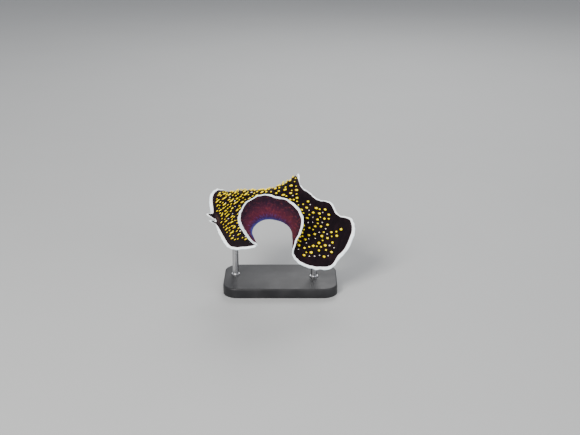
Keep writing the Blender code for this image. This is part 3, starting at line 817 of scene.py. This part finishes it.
@dataclass
class Skin:
    """The seamless skin, with the numbers that its colours follow."""

    sheet: Sheet
    finish: SkinFinish = field(default_factory=SkinFinish)
    tentacles: Sequence[Tentacle] = (
        Tentacle(Side.LEFT, (-28.1, -1.6, 0.5), (0.10, 0.32, 0.40)),
        Tentacle(Side.RIGHT, (-29.6, 0.8, 2.9), (0.58, 0.12, 0.40)),
    )
    rows: int = 290
    tentacle_rows: int = 22
    half_columns: int = 54
    margin_columns: int = 15
    notch_column: int = 8
    margin_band: float = 1.9        # millimetres along the margin with close columns
    band_limit: float = 0.45        # most of a half's width that this may be
    crowding: float = 1.35          # power by which its columns crowd towards the edge
    front_rim: float = 0.32         # width of the white edge between the tentacles
    # share, width of the white margin; it is narrow where the margin is gathered
    left_rim: Rows = (
        (0.0, 0.3), (0.02, 0.5), (0.04, 0.8), (0.08, 1.15), (0.14, 1.15), (0.19, 0.85), (0.25, 0.8),
        (0.31, 1.1), (0.36, 1.15), (0.39, 0.85), (0.41, 0.45), (0.43, 0.30), (0.46, 0.28), (0.50, 0.30),
        (0.52, 0.65), (0.54, 0.75), (0.552, 0.4), (0.565, 0.45), (0.58, 0.8), (0.62, 0.95), (0.65, 0.85),
        (0.69, 0.65), (0.72, 0.55), (0.735, 0.7), (0.77, 0.95), (0.84, 1.0), (0.91, 1.1), (1.0, 1.05),
    )
    right_rim: Rows = (
        (0.0, 0.4), (0.03, 1.05), (0.08, 1.45), (0.125, 1.2), (0.16, 0.9), (0.3, 0.9), (0.5, 0.8),
        (0.55, 0.5), (0.568, 1.05), (0.60, 1.05), (0.63, 0.65), (0.675, 0.65), (0.70, 0.75), (0.735, 0.6),
        (0.752, 0.4), (0.775, 0.7), (0.80, 1.0), (0.83, 0.8), (0.858, 0.5), (0.89, 0.65), (0.92, 0.9),
        (0.95, 1.05), (1.0, 1.1),
    )
    edge_radius: float = 0.26
    edge_least: float = 0.22        # share of the thickness that is left at the edge's rounding
    edge_thinning: float = 0.36     # part of the thickness that is lost near the edge
    edge_reach: float = 1.3
    rim_swell: float = 0.09
    swell_start: Pair = (0.0, 0.035)
    ruffle: float = 0.20            # millimetres that the margin waves up and down
    ruffle_reach: float = 4.0
    scallop: float = 0.22           # millimetres that the margin's edge wanders in and out
    scallop_reach: float = 1.2
    scallop_shares: Pair = (0.02, 0.98)
    ruffle_lengths: Numbers = (6.1, 3.7, 2.3)
    ruffle_turns: Pair = (0.5, 1.5)
    ruffle_drift: float = 23.0
    ruffle_ends: Rows = ((0.02, 0.10), (0.96, 1.0))
    margin_length: float = 105.0    # of one side, along its folds
    # where the underside turns away in this view, along the body; depth is 0.5 there, and the painted blue
    # sheen lies along it
    throat_shares: Numbers = (0.1, 0.28, 0.34, 0.40, 0.60, 0.66, 0.80)
    throat_across: Numbers = (0.62, 0.70, 0.58, 0.48, 0.44, 0.48, 0.50)
    throat_starts: Pair = (0.16, 0.30)
    throat_ends: Pair = (0.50, 0.68)
    # mouth and sucker: share, half length, half width, height, depth of the hollow
    forms: Rows = ((0.352, 1.3, 0.65, 0.35, 0.8), (0.56, 0.8, 0.8, 0.45, 0.55))
    form_reach: float = 0.08        # share of the body on either side that a form is sought in
    hollow_width: float = 0.42
    form_border: Pair = (0.75, 1.1)
    nape: Numbers = (0.045, 0.9, 0.8)       # share, half length and half width of the bare patch
    uv_scale: float = 0.01          # of the map that follows the body, for each millimetre
    step: float = 1e-3
    seed: int = 5

    def columns(self, share: Array, column: Array) -> Array:
        """Places the columns, closer together towards the margin.

        Args:
            share: place along the animal.
            column: number of the column, from minus to plus half_columns.

        Returns:
            The across of each vertex.
        """
        side = np.where(column < 0, -1.0, 1.0)
        band = np.minimum(self.margin_band / self.sheet.spread(share, side), self.band_limit)
        inner = self.half_columns - self.margin_columns
        number = np.abs(column)
        near = number / inner * (1 - band)
        part = np.clip((number - inner) / self.margin_columns, 0, 1)
        outer = 1 - band * (1 - part) ** self.crowding
        return side * np.where(number <= inner, near, outer)

    def build(self) -> Object:
        """Builds the skin from one grid, thickened by an extrusion and moved into shape.

        Returns:
            The skin's piece.
        """
        bm = bmesh.new()
        names = ("rim", "depth", "throat", "back", "lips", "nape")
        layers = {name: bm.verts.layers.float.new(name) for name in names}
        uv = bm.loops.layers.uv.new("skin")
        total = self.rows + self.tentacle_rows
        bmesh.ops.create_grid(bm, x_segments=total, y_segments=2 * self.half_columns, size=0.5)
        gap = [
            face for face in bm.faces
            if self._row(face.calc_center_median().x) < 0
            and abs(self._column(face.calc_center_median().y)) < self.notch_column
        ]
        bmesh.ops.delete(bm, geom=gap, context="FACES")
        flat = np.array([vert.co[:2] for vert in bm.verts])
        shape = self._shape(np.round(self._row(flat[:, 0]), 3), np.round(self._column(flat[:, 1]), 3))
        under = list(bm.verts)
        raised = bmesh.ops.extrude_face_region(bm, geom=list(bm.faces), use_keep_orig=True)["geom"]
        upper = {tuple(vert.co[:2]): vert for vert in raised if isinstance(vert, bmesh.types.BMVert)}
        place = {}
        for i, low in enumerate(under):
            high = upper[tuple(low.co[:2])]
            for vert, point, back in ((low, shape["low"][i], 0.0), (high, shape["high"][i], 1.0)):
                vert.co = point
                for name, layer in layers.items():
                    vert[layer] = shape[name][i]
                vert[layers["back"]] = back
                vert[layers["nape"]] *= back
                vert[layers["lips"]] *= 1 - back
                place[vert] = shape["uv"][i]
        for face in bm.faces:
            for loop in face.loops:
                loop[uv].uv = place[loop.vert]
        bmesh.ops.recalc_face_normals(bm, faces=bm.faces)
        if bm.calc_volume(signed=True) < 0:
            bmesh.ops.reverse_faces(bm, faces=bm.faces)
        flesh = [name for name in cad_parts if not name.startswith("stand_")]
        return add_piece("skin", bm, self.finish.material(), flesh)

    def _row(self, x: Value) -> Value:
        """Row number of a place on the flat grid, 0 at the front margin and below 0 on the tentacles."""
        return (x + 0.5) * (self.rows + self.tentacle_rows) - self.tentacle_rows

    def _column(self, y: Value) -> Value:
        """Column number of a place on the flat grid, 0 on the midline."""
        return (y + 0.5) * 2 * self.half_columns - self.half_columns

    def _shape(self, row: Array, column: Array) -> dict[str, Array]:
        """Works out where each vertex lies and what it carries.

        Args:
            row: row of each vertex of the flat grid.
            column: column of each vertex.

        Returns:
            Arrays by name: the points of both faces in metres, the vertex numbers and the UV places.
        """
        sheet = self.sheet
        share = np.clip(row / self.rows, 0, 1)
        across = self.columns(share, column)
        side = np.where(column < 0, -1.0, 1.0)
        wide = sheet.spread(share, side)
        front_wide = sheet.spread(np.zeros_like(share), side)
        long = np.linalg.norm(sheet.midline_curve.slope(share), axis=1)
        notch = float(self.columns(np.zeros(1), np.array([float(self.notch_column)]))[0])
        lateral = (1 - np.abs(across)) * wide
        tail = (1 - share) * long
        past_notch = np.maximum(np.abs(across) - notch, 0) * front_wide
        front = np.sqrt((share * long) ** 2 + past_notch ** 2)
        left, right = (np.interp(share, *np.array(rows).T) for rows in (self.left_rim, self.right_rim))
        rim_width = np.where(side < 0, left, right)
        flesh = {
            "middle": sheet.point(share, across),
            "normal": sheet.normal(share, across),
            "thick": sheet.thickness(share, across),
            "from_margin": soft_least(lateral, tail, front),
            "rim": soft_least(lateral / rim_width, tail / rim_width, front / self.front_rim),
        }
        for one in self.tentacles:
            mine = (row < 0) & (side == one.side.value) & (np.abs(column) >= self.notch_column)
            self._lay_tentacle(one, notch, mine, -row[mine] / self.tentacle_rows, np.abs(across[mine]), flesh)
        middle, normal, thick, from_margin, rim = flesh.values()
        wave = self._ruffles(self.seed, share, across, from_margin)
        middle = middle + normal * (self.ruffle * wave)[:, None]
        outward = unit(sheet.slopes(np.clip(share, *self.scallop_shares), across)[1]) * side[:, None]
        wave = self._ruffles(self.seed + 1, share, across, from_margin)
        middle = middle + outward * (self.scallop * wave * np.exp(-from_margin / self.scallop_reach))[:, None]
        swell = self.rim_swell * np.sin(pi * np.clip(rim, 0, 1)) * ease(share, *self.swell_start)
        thick = thick * (1 - self.edge_thinning * np.exp(-(from_margin / self.edge_reach) ** 2))
        edge = np.clip(from_margin / self.edge_radius, 0, 1)
        half = (thick + swell) / 2 * np.maximum(np.sqrt(1 - (1 - edge) ** 2), self.edge_least)
        lips, mound = self._underside_forms(share, across)
        place, long, wide_nape = self.nape
        nape = np.exp(-((share - place) * sheet.length / long) ** 2 - (across * front_wide / wide_nape) ** 2)
        throat_border = np.interp(share, self.throat_shares, self.throat_across)
        return {
            "high": sheet.world(middle + normal * half[:, None]) * MM,
            "low": sheet.world(middle - normal * (half + mound)[:, None]) * MM,
            "rim": rim,
            "depth": (1 - np.abs(across)) / (1 - throat_border) / 2,
            "throat": ease(share, *self.throat_starts) * (1 - ease(share, *self.throat_ends)),
            "back": np.zeros_like(share),
            "lips": lips,
            "nape": nape,
            "uv": np.stack([share * sheet.length * self.uv_scale, 0.5 + across * wide * self.uv_scale], 1),
        }

    def _lay_tentacle(self, one: Tentacle, notch: float, mine: Array, reach: Array,
                      across: Array, flesh: dict[str, Array]) -> None:
        """Writes one tentacle's part of the arrays.

        Args:
            one: the tentacle.
            notch: across of the inner end of its root.
            mine: marks the tentacle's vertices in the arrays.
            reach: 0 at the root and 1 at the tip, for each of its vertices.
            across: how far each lies from the midline, from the notch to 1.
            flesh: the middle points, normals, thickness, and distance to the edge in millimetres and
                as a share of the white margin's width.
        """
        fold = partial(one.fold, self.sheet, notch)
        place = (across - notch) / (1 - notch)
        forward = fold(reach + self.step, place) - fold(reach - self.step, place)
        inner, outer = np.clip(place - self.step, 0, 1), np.clip(place + self.step, 0, 1)
        own = unit(np.cross(forward, fold(reach, outer) - fold(reach, inner))) * -one.side.value
        turn = ease(reach, 0.0, one.turned)
        ends = fold(np.repeat(reach, 2), np.tile([0.0, 1.0], len(reach)))
        width = np.linalg.norm(ends[1::2] - ends[::2], axis=1)
        root, tip = fold(np.array([0.0, 1.0]), np.array([0.5, 0.5]))
        distances = place * width, (1 - place) * width, (1 - reach) * float(np.linalg.norm(tip - root))
        rims = [self.front_rim + (white - self.front_rim) * turn for white in one.white]
        near, far = one.thickness
        flesh["middle"][mine] = fold(reach, place)
        flesh["normal"][mine] = unit(flesh["normal"][mine] * (1 - turn[:, None]) + own * turn[:, None])
        flesh["thick"][mine] = flesh["thick"][mine] * (1 - turn) + (near + (far - near) * reach) * turn
        flesh["from_margin"][mine] = soft_least(*distances)
        flesh["rim"][mine] = soft_least(*(distance / rim for distance, rim in zip(distances, rims)))

    def _ruffles(self, seed: int, share: Array, across: Array,
                 from_margin: Array) -> Array:
        """Fine waves of the margin, dying away towards the midline.

        Args:
            seed: picks the waves.
            share: place along the animal.
            across: place across it.
            from_margin: distance to the margin, in millimetres.

        Returns:
            The wave at each place, from -1 to 1.
        """
        draw = Random(seed)
        wave = np.zeros_like(share)
        for length in self.ruffle_lengths:
            for side in (-1.0, 1.0):
                phase = draw.uniform(0, 2 * pi)
                turns = draw.uniform(*self.ruffle_turns) * np.sin(share * self.ruffle_drift + phase)
                bend = 2 * pi * share * self.margin_length / length + phase + turns
                wave += np.where(across * side > 0, np.sin(bend), 0) / len(self.ruffle_lengths)
        front, tail = self.ruffle_ends
        fade = np.exp(-from_margin / self.ruffle_reach) * ease(share, *front)
        return wave * fade * (1 - ease(share, *tail))

    def _underside_forms(self, share: Array, across: Array) -> tuple[Array, Array]:
        """The mouth's lips and the sucker.

        Args:
            share: place along the animal.
            across: place across it.

        Returns:
            How strongly each vertex shows their colour, and how far it stands out, in millimetres.
        """
        lips = np.zeros_like(share)
        mound = np.zeros_like(share)
        for place, long, wide, height, hollow in self.forms:
            centre = self.sheet.point(np.array([place]), np.zeros(1))[0]
            near = np.abs(share - place) < self.form_reach
            offset = self.sheet.point(share[near], across[near]) - centre
            along = unit(self.sheet.midline_curve.slope(np.array([place]))[0])
            run = offset @ along
            rest = np.linalg.norm(offset - np.outer(run, along), axis=1)
            ring = np.sqrt((run / long) ** 2 + (rest / wide) ** 2)
            rise = np.clip(1 - ring ** 2, 0, 1) ** 0.5 - hollow * np.exp(-(ring / self.hollow_width) ** 2)
            mound[near] += height * rise
            lips[near] = np.maximum(lips[near], 1 - ease(ring, *self.form_border))
        return lips, mound


@dataclass
class Papillae:
    """The gold-tipped papillae that stand on the back and lean towards the tail."""

    sheet: Sheet
    finish: PapillaFinish = field(default_factory=PapillaFinish)
    seed: int = 11
    draws: tuple[int, int] = (9000, 16000)          # tries for the large ones and for the small ones
    drawn_shares: Pair = (0.02, 0.97)
    drawn_across: Pair = (-0.97, 0.97)
    ends: Pair = (0.1, 0.9)         # shares at which the pairs that follow hold
    spacing: Pair = (2.0, 2.55)
    small_spacing: Pair = (1.02, 1.70)
    length: Pair = (1.75, 1.12)
    radius: Pair = (0.225, 0.46)
    pale_part: Pair = (0.10, 0.55)
    rise_shares: Numbers = (0.1, 0.25, 0.5, 0.65, 0.9)
    rise: Numbers = (34.0, 28.0, 28.0, 46.0, 62.0)
    small_size: Pair = (0.50, 0.80)
    pale_size: float = 0.75
    # what each differs by: size, degrees of rise, turn to the side, bend towards the tail, start of the gold
    size_range: Pair = (0.88, 1.12)
    rise_range: Pair = (-7.0, 7.0)
    turn_range: Pair = (-0.2, 0.2)
    bend_range: Pair = (0.02, 0.16)
    onset_range: Pair = (-0.03, 0.10)
    small_onset_range: Pair = (0.0, 0.14)
    rim_width: float = 1.3
    bare_nape: float = 2.6
    band_shares: Numbers = (0.0, 0.15, 0.2, 0.35, 0.62, 0.75, 0.82, 0.9, 1.0)
    left_band: Numbers = (1.6, 1.8, 2.2, 1.5, 1.2, 1.2, 3.4, 4.8, 5.2)
    right_band: Numbers = (1.3, 1.3, 1.4, 1.5, 1.1, 2.4, 3.4, 4.8, 5.2)
    sides: int = 10
    # from the tip to the root: height as a share of the length, width as a share of the radius
    profile: Rows = (
        (1.00, 0.0), (0.94, 0.62), (0.76, 0.98), (0.50, 0.95), (0.22, 0.76), (0.0, 1.02), (-0.22, 0.0),
    )
    # on the baked map: the corner and the reach of the body, and the width of each papilla's own part
    map_corner: Pair = (0.05, 0.5)
    map_reach: Pair = (0.9, 0.44)
    patch: float = 0.012

    def _drawn(self, count: int, seed: int) -> Array:
        """Draws places on the back, inside its black margin.

        Args:
            count: how many are tried.
            seed: picks them.

        Returns:
            (share, across) of those that lie inside.
        """
        draw = Random(seed)
        places = np.array([
            (draw.uniform(*self.drawn_shares), draw.uniform(*self.drawn_across)) for _ in range(count)
        ])
        share, across = places.T
        width = self.sheet.spread(share, np.sign(across))
        tail = (1 - share) * np.linalg.norm(self.sheet.midline_curve.slope(np.ones(1)))
        margin = np.minimum((1 - np.abs(across)) * width, tail) - self.rim_width
        left, right = (np.interp(share, self.band_shares, band) for band in (self.left_band, self.right_band))
        inside = margin > np.where(across < 0, left, right)
        front = self.sheet.point(np.zeros(1), np.zeros(1))
        inside &= np.linalg.norm(self.sheet.point(share, across) - front, axis=1) > self.bare_nape
        return places[inside]

    def _along(self, share: Value, values: Pair) -> Value:
        """What a pair of values gives at a place along the body."""
        return np.interp(share, self.ends, values)

    def sites(self) -> tuple[Array, int]:
        """Places of all papillae.

        Returns:
            (share, across) of each, the large ones first, and how many large ones there are.
        """
        chosen: list[Array] = []
        points: list[Array] = []
        large = 0
        large_draws, small_draws = self.draws
        for places, spacing in (
            (self._drawn(large_draws, self.seed), self.spacing),
            (self._drawn(small_draws, self.seed + 7), self.small_spacing),
        ):
            gaps = self._along(places[:, 0], spacing)
            for place, point, gap in zip(places, self.sheet.point(places[:, 0], places[:, 1]), gaps):
                if not points or np.linalg.norm(np.array(points) - point, axis=1).min() > gap:
                    chosen.append(place)
                    points.append(point)
            large = large or len(chosen)
        return np.array(chosen), large

    def build(self) -> Object:
        """Builds all papillae as one joined piece, each a copy of one bulb.

        Returns:
            The papillae's piece.
        """
        bulb = self._bulb()
        shape = np.array([vert.co for vert in bulb.vertices])
        lift = np.maximum(shape[:, 2], 0)
        disc = self._disc(shape) * self.patch / 2
        sites, large = self.sites()
        share, across = sites.T
        normals = self.sheet.normal(share, across)
        feet = self.sheet.face(share, across)
        leans = self.sheet.midline_curve.slope(share)
        draw = Random(self.seed + 3)
        bm = bmesh.new()
        points, looks, patches = [], [], []
        for i, (place, foot, normal, lean) in enumerate(zip(sites, feet, normals, leans)):
            small = i >= large
            size = draw.uniform(*(self.small_size if small else self.size_range))
            pale = float(small and draw.random() < self._along(place[0], self.pale_part))
            size *= self.pale_size if pale else 1.0
            length = self._along(place[0], self.length) * size * draw.uniform(*self.size_range)
            radius = self._along(place[0], self.radius) * size
            rise = radians(np.interp(place[0], self.rise_shares, self.rise) + draw.uniform(*self.rise_range))
            level = unit(lean - normal * (lean @ normal))
            level = unit(level + np.cross(normal, level) * draw.uniform(*self.turn_range))
            axis = level * cos(rise) + normal * sin(rise)
            side = np.cross(axis, normal)
            turn = np.array((unit(side), unit(np.cross(axis, side)), axis))
            bend = np.outer(lift ** 2, level) * length * draw.uniform(*self.bend_range)
            points.append(foot + shape * np.array((radius, radius, length)) @ turn + bend)
            onset = draw.uniform(*(self.small_onset_range if small else self.onset_range))
            looks.append(np.stack([lift, np.full_like(lift, pale), np.full_like(lift, onset)], 1))
            patches.append(np.array(self.map_corner) + np.array(self.map_reach) * place + disc)
            bm.from_mesh(bulb)
        bpy.data.meshes.remove(bulb)
        layers = [bm.verts.layers.float.new(name) for name in ("rise", "pale", "onset")]
        uv = bm.loops.layers.uv.new("OFBake")
        world = self.sheet.world(np.concatenate(points)) * MM
        for vert, point, look in zip(bm.verts, world, np.concatenate(looks)):
            vert.co = point
            for layer, value in zip(layers, look):
                vert[layer] = value
        bm.verts.index_update()
        patch = np.concatenate(patches)
        for face in bm.faces:
            for loop in face.loops:
                loop[uv].uv = patch[loop.vert.index]
        LOG.info("papillae: %d large, %d small", large, len(sites) - large)
        bm.normal_update()
        bmesh.ops.recalc_face_normals(bm, faces=bm.faces)
        return add_piece("papillae", bm, self.finish.material())

    def _bulb(self) -> bpy.types.Mesh:
        """Turns one papilla of unit length and width from a sphere.

        Returns:
            Its mesh.
        """
        bm = bmesh.new()
        rings = len(self.profile) - 1
        bmesh.ops.create_uvsphere(bm, u_segments=self.sides, v_segments=rings, radius=1.0)
        for vert in bm.verts:
            station = round(acos(max(-1.0, min(1.0, vert.co.z))) / pi * rings)
            height, width = self.profile[station]
            flat = vert.co.xy.normalized() * width if width else vert.co.xy * 0
            vert.co = (flat.x, flat.y, height)
        mesh = bpy.data.meshes.new("bulb")
        bm.to_mesh(mesh)
        bm.free()
        return mesh

    def _disc(self, bulb: Array) -> Array:
        """Lays the bulb's points out on the map.

        Args:
            bulb: its points.

        Returns:
            Their places on a disc of radius 1, the tip in the middle and the root outside.
        """
        reach = np.linalg.norm(bulb[:, :2], axis=1, keepdims=True)
        order = (1 - bulb[:, 2:3]) / (1 - self.profile[-1][0])
        return np.where(reach > 1e-6, bulb[:, :2] / np.maximum(reach, 1e-6), 0) * order


@dataclass
class EyeSpecks:
    """Two small clusters of eye specks on the nape, behind the tentacles."""

    sheet: Sheet
    finish: EyeFinish = field(default_factory=EyeFinish)
    share: float = 0.045
    apart: float = 0.42             # millimetres from the midline to the middle of a cluster
    count: int = 9
    spread: Pair = (0.42, 0.16)
    radius: Pair = (0.045, 0.07)
    seed: int = 3

    def build(self) -> Object:
        """Builds the specks as one joined piece, each half sunk into the back.

        Returns:
            The specks' piece.
        """
        draw = Random(self.seed)
        bm = bmesh.new()
        width = self.sheet.spread(np.array([self.share]), np.ones(1))
        for side in Side:
            for _ in range(self.count):
                share = np.array([self.share + draw.uniform(-1, 1) * self.spread[0] / self.sheet.length])
                across = (side.value * self.apart + draw.uniform(-1, 1) * self.spread[1]) / width
                foot = self.sheet.world(self.sheet.face(share, across))[0] * MM
                radius = draw.uniform(*self.radius) * MM
                matrix = Matrix.Translation(foot)
                bmesh.ops.create_icosphere(bm, subdivisions=2, radius=radius, matrix=matrix)
        return add_piece("eye_specks", bm, self.finish.material())


@dataclass(frozen=True)
class Rod:
    """Which solid a rod of the stand stands for, and where on the sheet its top ends."""

    node: str
    share: float
    across: float


@dataclass
class Stand:
    """The display stand: a flat base with eased edges and two rods."""

    sheet: Sheet
    base_size: tuple[float, float, float] = (46.0, 26.0, 4.0)
    corner: float = 6.0
    corner_segments: int = 16
    eased: Pair = (0.6, 0.2)        # of the upper and of the lower edge
    eased_segments: int = 4
    rods: Sequence[Rod] = (Rod("stand_rod_front", 0.225, 0.10), Rod("stand_rod_rear", 0.755, 0.05))
    rod_radius: float = 1.25
    rod_sides: int = 48
    collar: tuple[float, float, float] = (1.7, 0.5, 0.12)      # radius, height and chamfer
    sunk: float = 0.1               # how far a rod's top reaches into the skin, so that no gap shows
    step: float = 1e-3
    rounds: int = 8
    base_finish: BaseFinish = field(default_factory=BaseFinish)
    rod_finish: RodFinish = field(default_factory=RodFinish)

    def build(self) -> None:
        """Builds the base and the rods."""
        self._base()
        steel = self.rod_finish.material()
        for rod in self.rods:
            self._rod(rod, steel)

    def _base(self) -> Object:
        """Builds the base, with round corners and its long edges eased.

        Returns:
            The base's piece.
        """
        height = self.base_size[2]
        bm = bmesh.new()
        bmesh.ops.create_cube(bm, size=1.0)
        bmesh.ops.scale(bm, vec=Vector(self.base_size) * MM, verts=bm.verts)
        bmesh.ops.translate(bm, vec=(0.0, 0.0, height / 2 * MM), verts=bm.verts)
        bevel = partial(bmesh.ops.bevel, bm, affect="EDGES", profile=0.5, material=-1)
        upright = [edge for edge in bm.edges if abs(edge.verts[0].co.z - edge.verts[1].co.z) > MM]
        bevel(geom=upright, offset=self.corner * MM, segments=self.corner_segments)
        for level, offset in zip((height, 0.0), self.eased):
            border = [
                edge for edge in bm.edges
                if all(abs(vert.co.z - level * MM) < 1e-6 for vert in edge.verts)
            ]
            bevel(geom=border, offset=offset * MM, segments=self.eased_segments)
        finish = self.base_finish.material()
        return add_piece("base_plate", bm, finish, ["stand_base"], FLAT_ABOVE)

    def _underside(self, share: float, across: float) -> Array:
        """A point of the skin's underside, in the world, in millimetres."""
        return self.sheet.world(self.sheet.face(np.array([share]), np.array([across]), -1.0))[0]

    def _height(self, rod: Rod, x: float, y: float) -> float:
        """Finds how high the underside lies over a place on the floor.

        Args:
            rod: the rod that stands there.
            x: the place to the right.
            y: the place away from the viewer.

        Returns:
            The height, in millimetres.
        """
        spot = np.array([rod.share, rod.across])
        for _ in range(self.rounds):
            point = self._underside(*spot)
            slopes = np.stack([self._underside(*(spot + step)) - point for step in np.eye(2) * self.step], 1)
            spot = spot + np.linalg.solve(slopes[:2] / self.step, (x - point[0], y - point[1]))
        return self._underside(*spot)[2]

    def _rod(self, rod: Rod, material: Material) -> Object:
        """Builds one rod with its collar, its top cut along the underside.

        Args:
            rod: where it stands and which solid it stands for.
            material: its finish.

        Returns:
            The rod's piece.
        """
        x, y, _ = self._underside(rod.share, rod.across)
        floor = self.base_size[2]
        radius, height, chamfer = self.collar
        bm = bmesh.new()
        bmesh.ops.create_circle(bm, cap_ends=True, segments=self.rod_sides, radius=radius)
        for rise, width in ((height - chamfer, radius), (height, radius - chamfer), (height, self.rod_radius),
                            (height + 1.0, self.rod_radius)):
            cap = max(bm.faces, key=lambda face: face.calc_center_median().z)
            ring = bmesh.ops.extrude_face_region(bm, geom=[cap])["geom"]
            bmesh.ops.delete(bm, geom=[cap], context="FACES_ONLY")
            for vert in (item for item in ring if isinstance(item, bmesh.types.BMVert)):
                flat = vert.co.xy.normalized() * width
                vert.co = (flat.x, flat.y, rise)
        underside = [edge for edge in bm.edges if edge.is_boundary]
        bmesh.ops.holes_fill(bm, edges=underside, sides=self.rod_sides)
        top = max(vert.co.z for vert in bm.verts)
        bmesh.ops.poke(bm, faces=[max(bm.faces, key=lambda face: face.calc_center_median().z)])
        for vert in bm.verts:
            if vert.co.z > top - 1e-6:
                vert.co.z = self._height(rod, x + vert.co.x, y + vert.co.y) + self.sunk - floor
            vert.co = (vert.co + Vector((x, y, floor))) * MM
        bmesh.ops.recalc_face_normals(bm, faces=bm.faces)
        return add_piece(rod.node.replace("stand_", ""), bm, material, [rod.node], FLAT_ABOVE)


@dataclass(frozen=True)
class Lamp:
    """A square soft light that faces the animal."""

    name: str
    place: Numbers          # in metres
    size: float
    power: float                    # in watts
    colour: Colour


@dataclass
class Studio:
    """Pale floor, soft lights and the camera at the photograph's angle."""

    sheet: Sheet
    floor_size: float = 6.0
    floor_segments: int = 4
    lamps: Sequence[Lamp] = (
        Lamp("key", (-0.30, -0.48, 0.46), 0.26, 9.6, (1.0, 0.98, 0.95)),
        Lamp("fill", (0.45, -0.42, 0.22), 0.40, 2.6, (0.94, 0.96, 1.0)),
        Lamp("back", (0.10, 0.50, 0.45), 0.30, 3.0, (1.0, 1.0, 1.0)),
    )
    air: Colour = (0.92, 0.94, 1.0)
    air_strength: float = 0.75
    distance: float = 400.0
    frame_width: float = 232.0
    aim: Pair = (4.0, 1.8)          # right of and above the pose's origin, in millimetres
    sensor: float = 36.0
    clip: Pair = (0.01, 20.0)
    finish: FloorFinish = field(default_factory=FloorFinish)

    def build(self) -> None:
        """Builds the floor, the lights, the world and the camera."""
        bm = bmesh.new()
        count = self.floor_segments
        bmesh.ops.create_grid(bm, x_segments=count, y_segments=count, size=self.floor_size / 2)
        floor = make_object("floor", bm, self.finish.material())
        floor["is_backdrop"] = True
        for lamp in self.lamps:
            self._light(lamp)
        world = bpy.data.worlds.new("soft_light")
        world.use_nodes = True
        background = world.node_tree.nodes["Background"]
        background.inputs["Color"].default_value = (*self.air, 1.0)
        background.inputs["Strength"].default_value = self.air_strength
        bpy.context.scene.world = world
        self._camera()

    def _light(self, lamp: Lamp) -> None:
        """Hangs a light.

        Args:
            lamp: what it is and where.
        """
        data = bpy.data.lights.new(lamp.name, "AREA")
        data.size = lamp.size
        data.energy = lamp.power
        data.color = lamp.colour
        light = put_in_scene(lamp.name, data)
        light.location = lamp.place
        aim = Vector(self.sheet.middle) * MM - Vector(lamp.place)
        light.rotation_euler = aim.to_track_quat("-Z", "Y").to_euler()

    def _camera(self) -> None:
        """Sets up a camera that sees the pose as the photograph does."""
        data = bpy.data.cameras.new("camera")
        data.sensor_width = self.sensor
        data.lens = self.sensor * self.distance / self.frame_width
        data.clip_start, data.clip_end = self.clip
        camera = put_in_scene("camera", data)
        right, up = self.aim
        camera.location = (self.sheet.to_world @ Vector((right, -self.distance, up))) * MM
        camera.rotation_euler = (pi / 2 - self.sheet.pitch, 0.0, 0.0)
        bpy.context.scene.camera = camera


def write_sizes() -> None:
    """Gathers the solids' box and the visual model's box as plain lists, and writes nothing."""
    boxes = {"cad": CAD_BOX, "visual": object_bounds()}
    plain = {name: [list(map(float, corner)) for corner in box] for name, box in boxes.items()}


def main() -> None:
    """Builds the sub-assemblies in order."""
    sheet = Sheet()
    for part in (Skin(sheet), Papillae(sheet), EyeSpecks(sheet), Stand(sheet), Studio(sheet)):
        part.build()
    write_sizes()


if __name__ == "__main__":
    main()
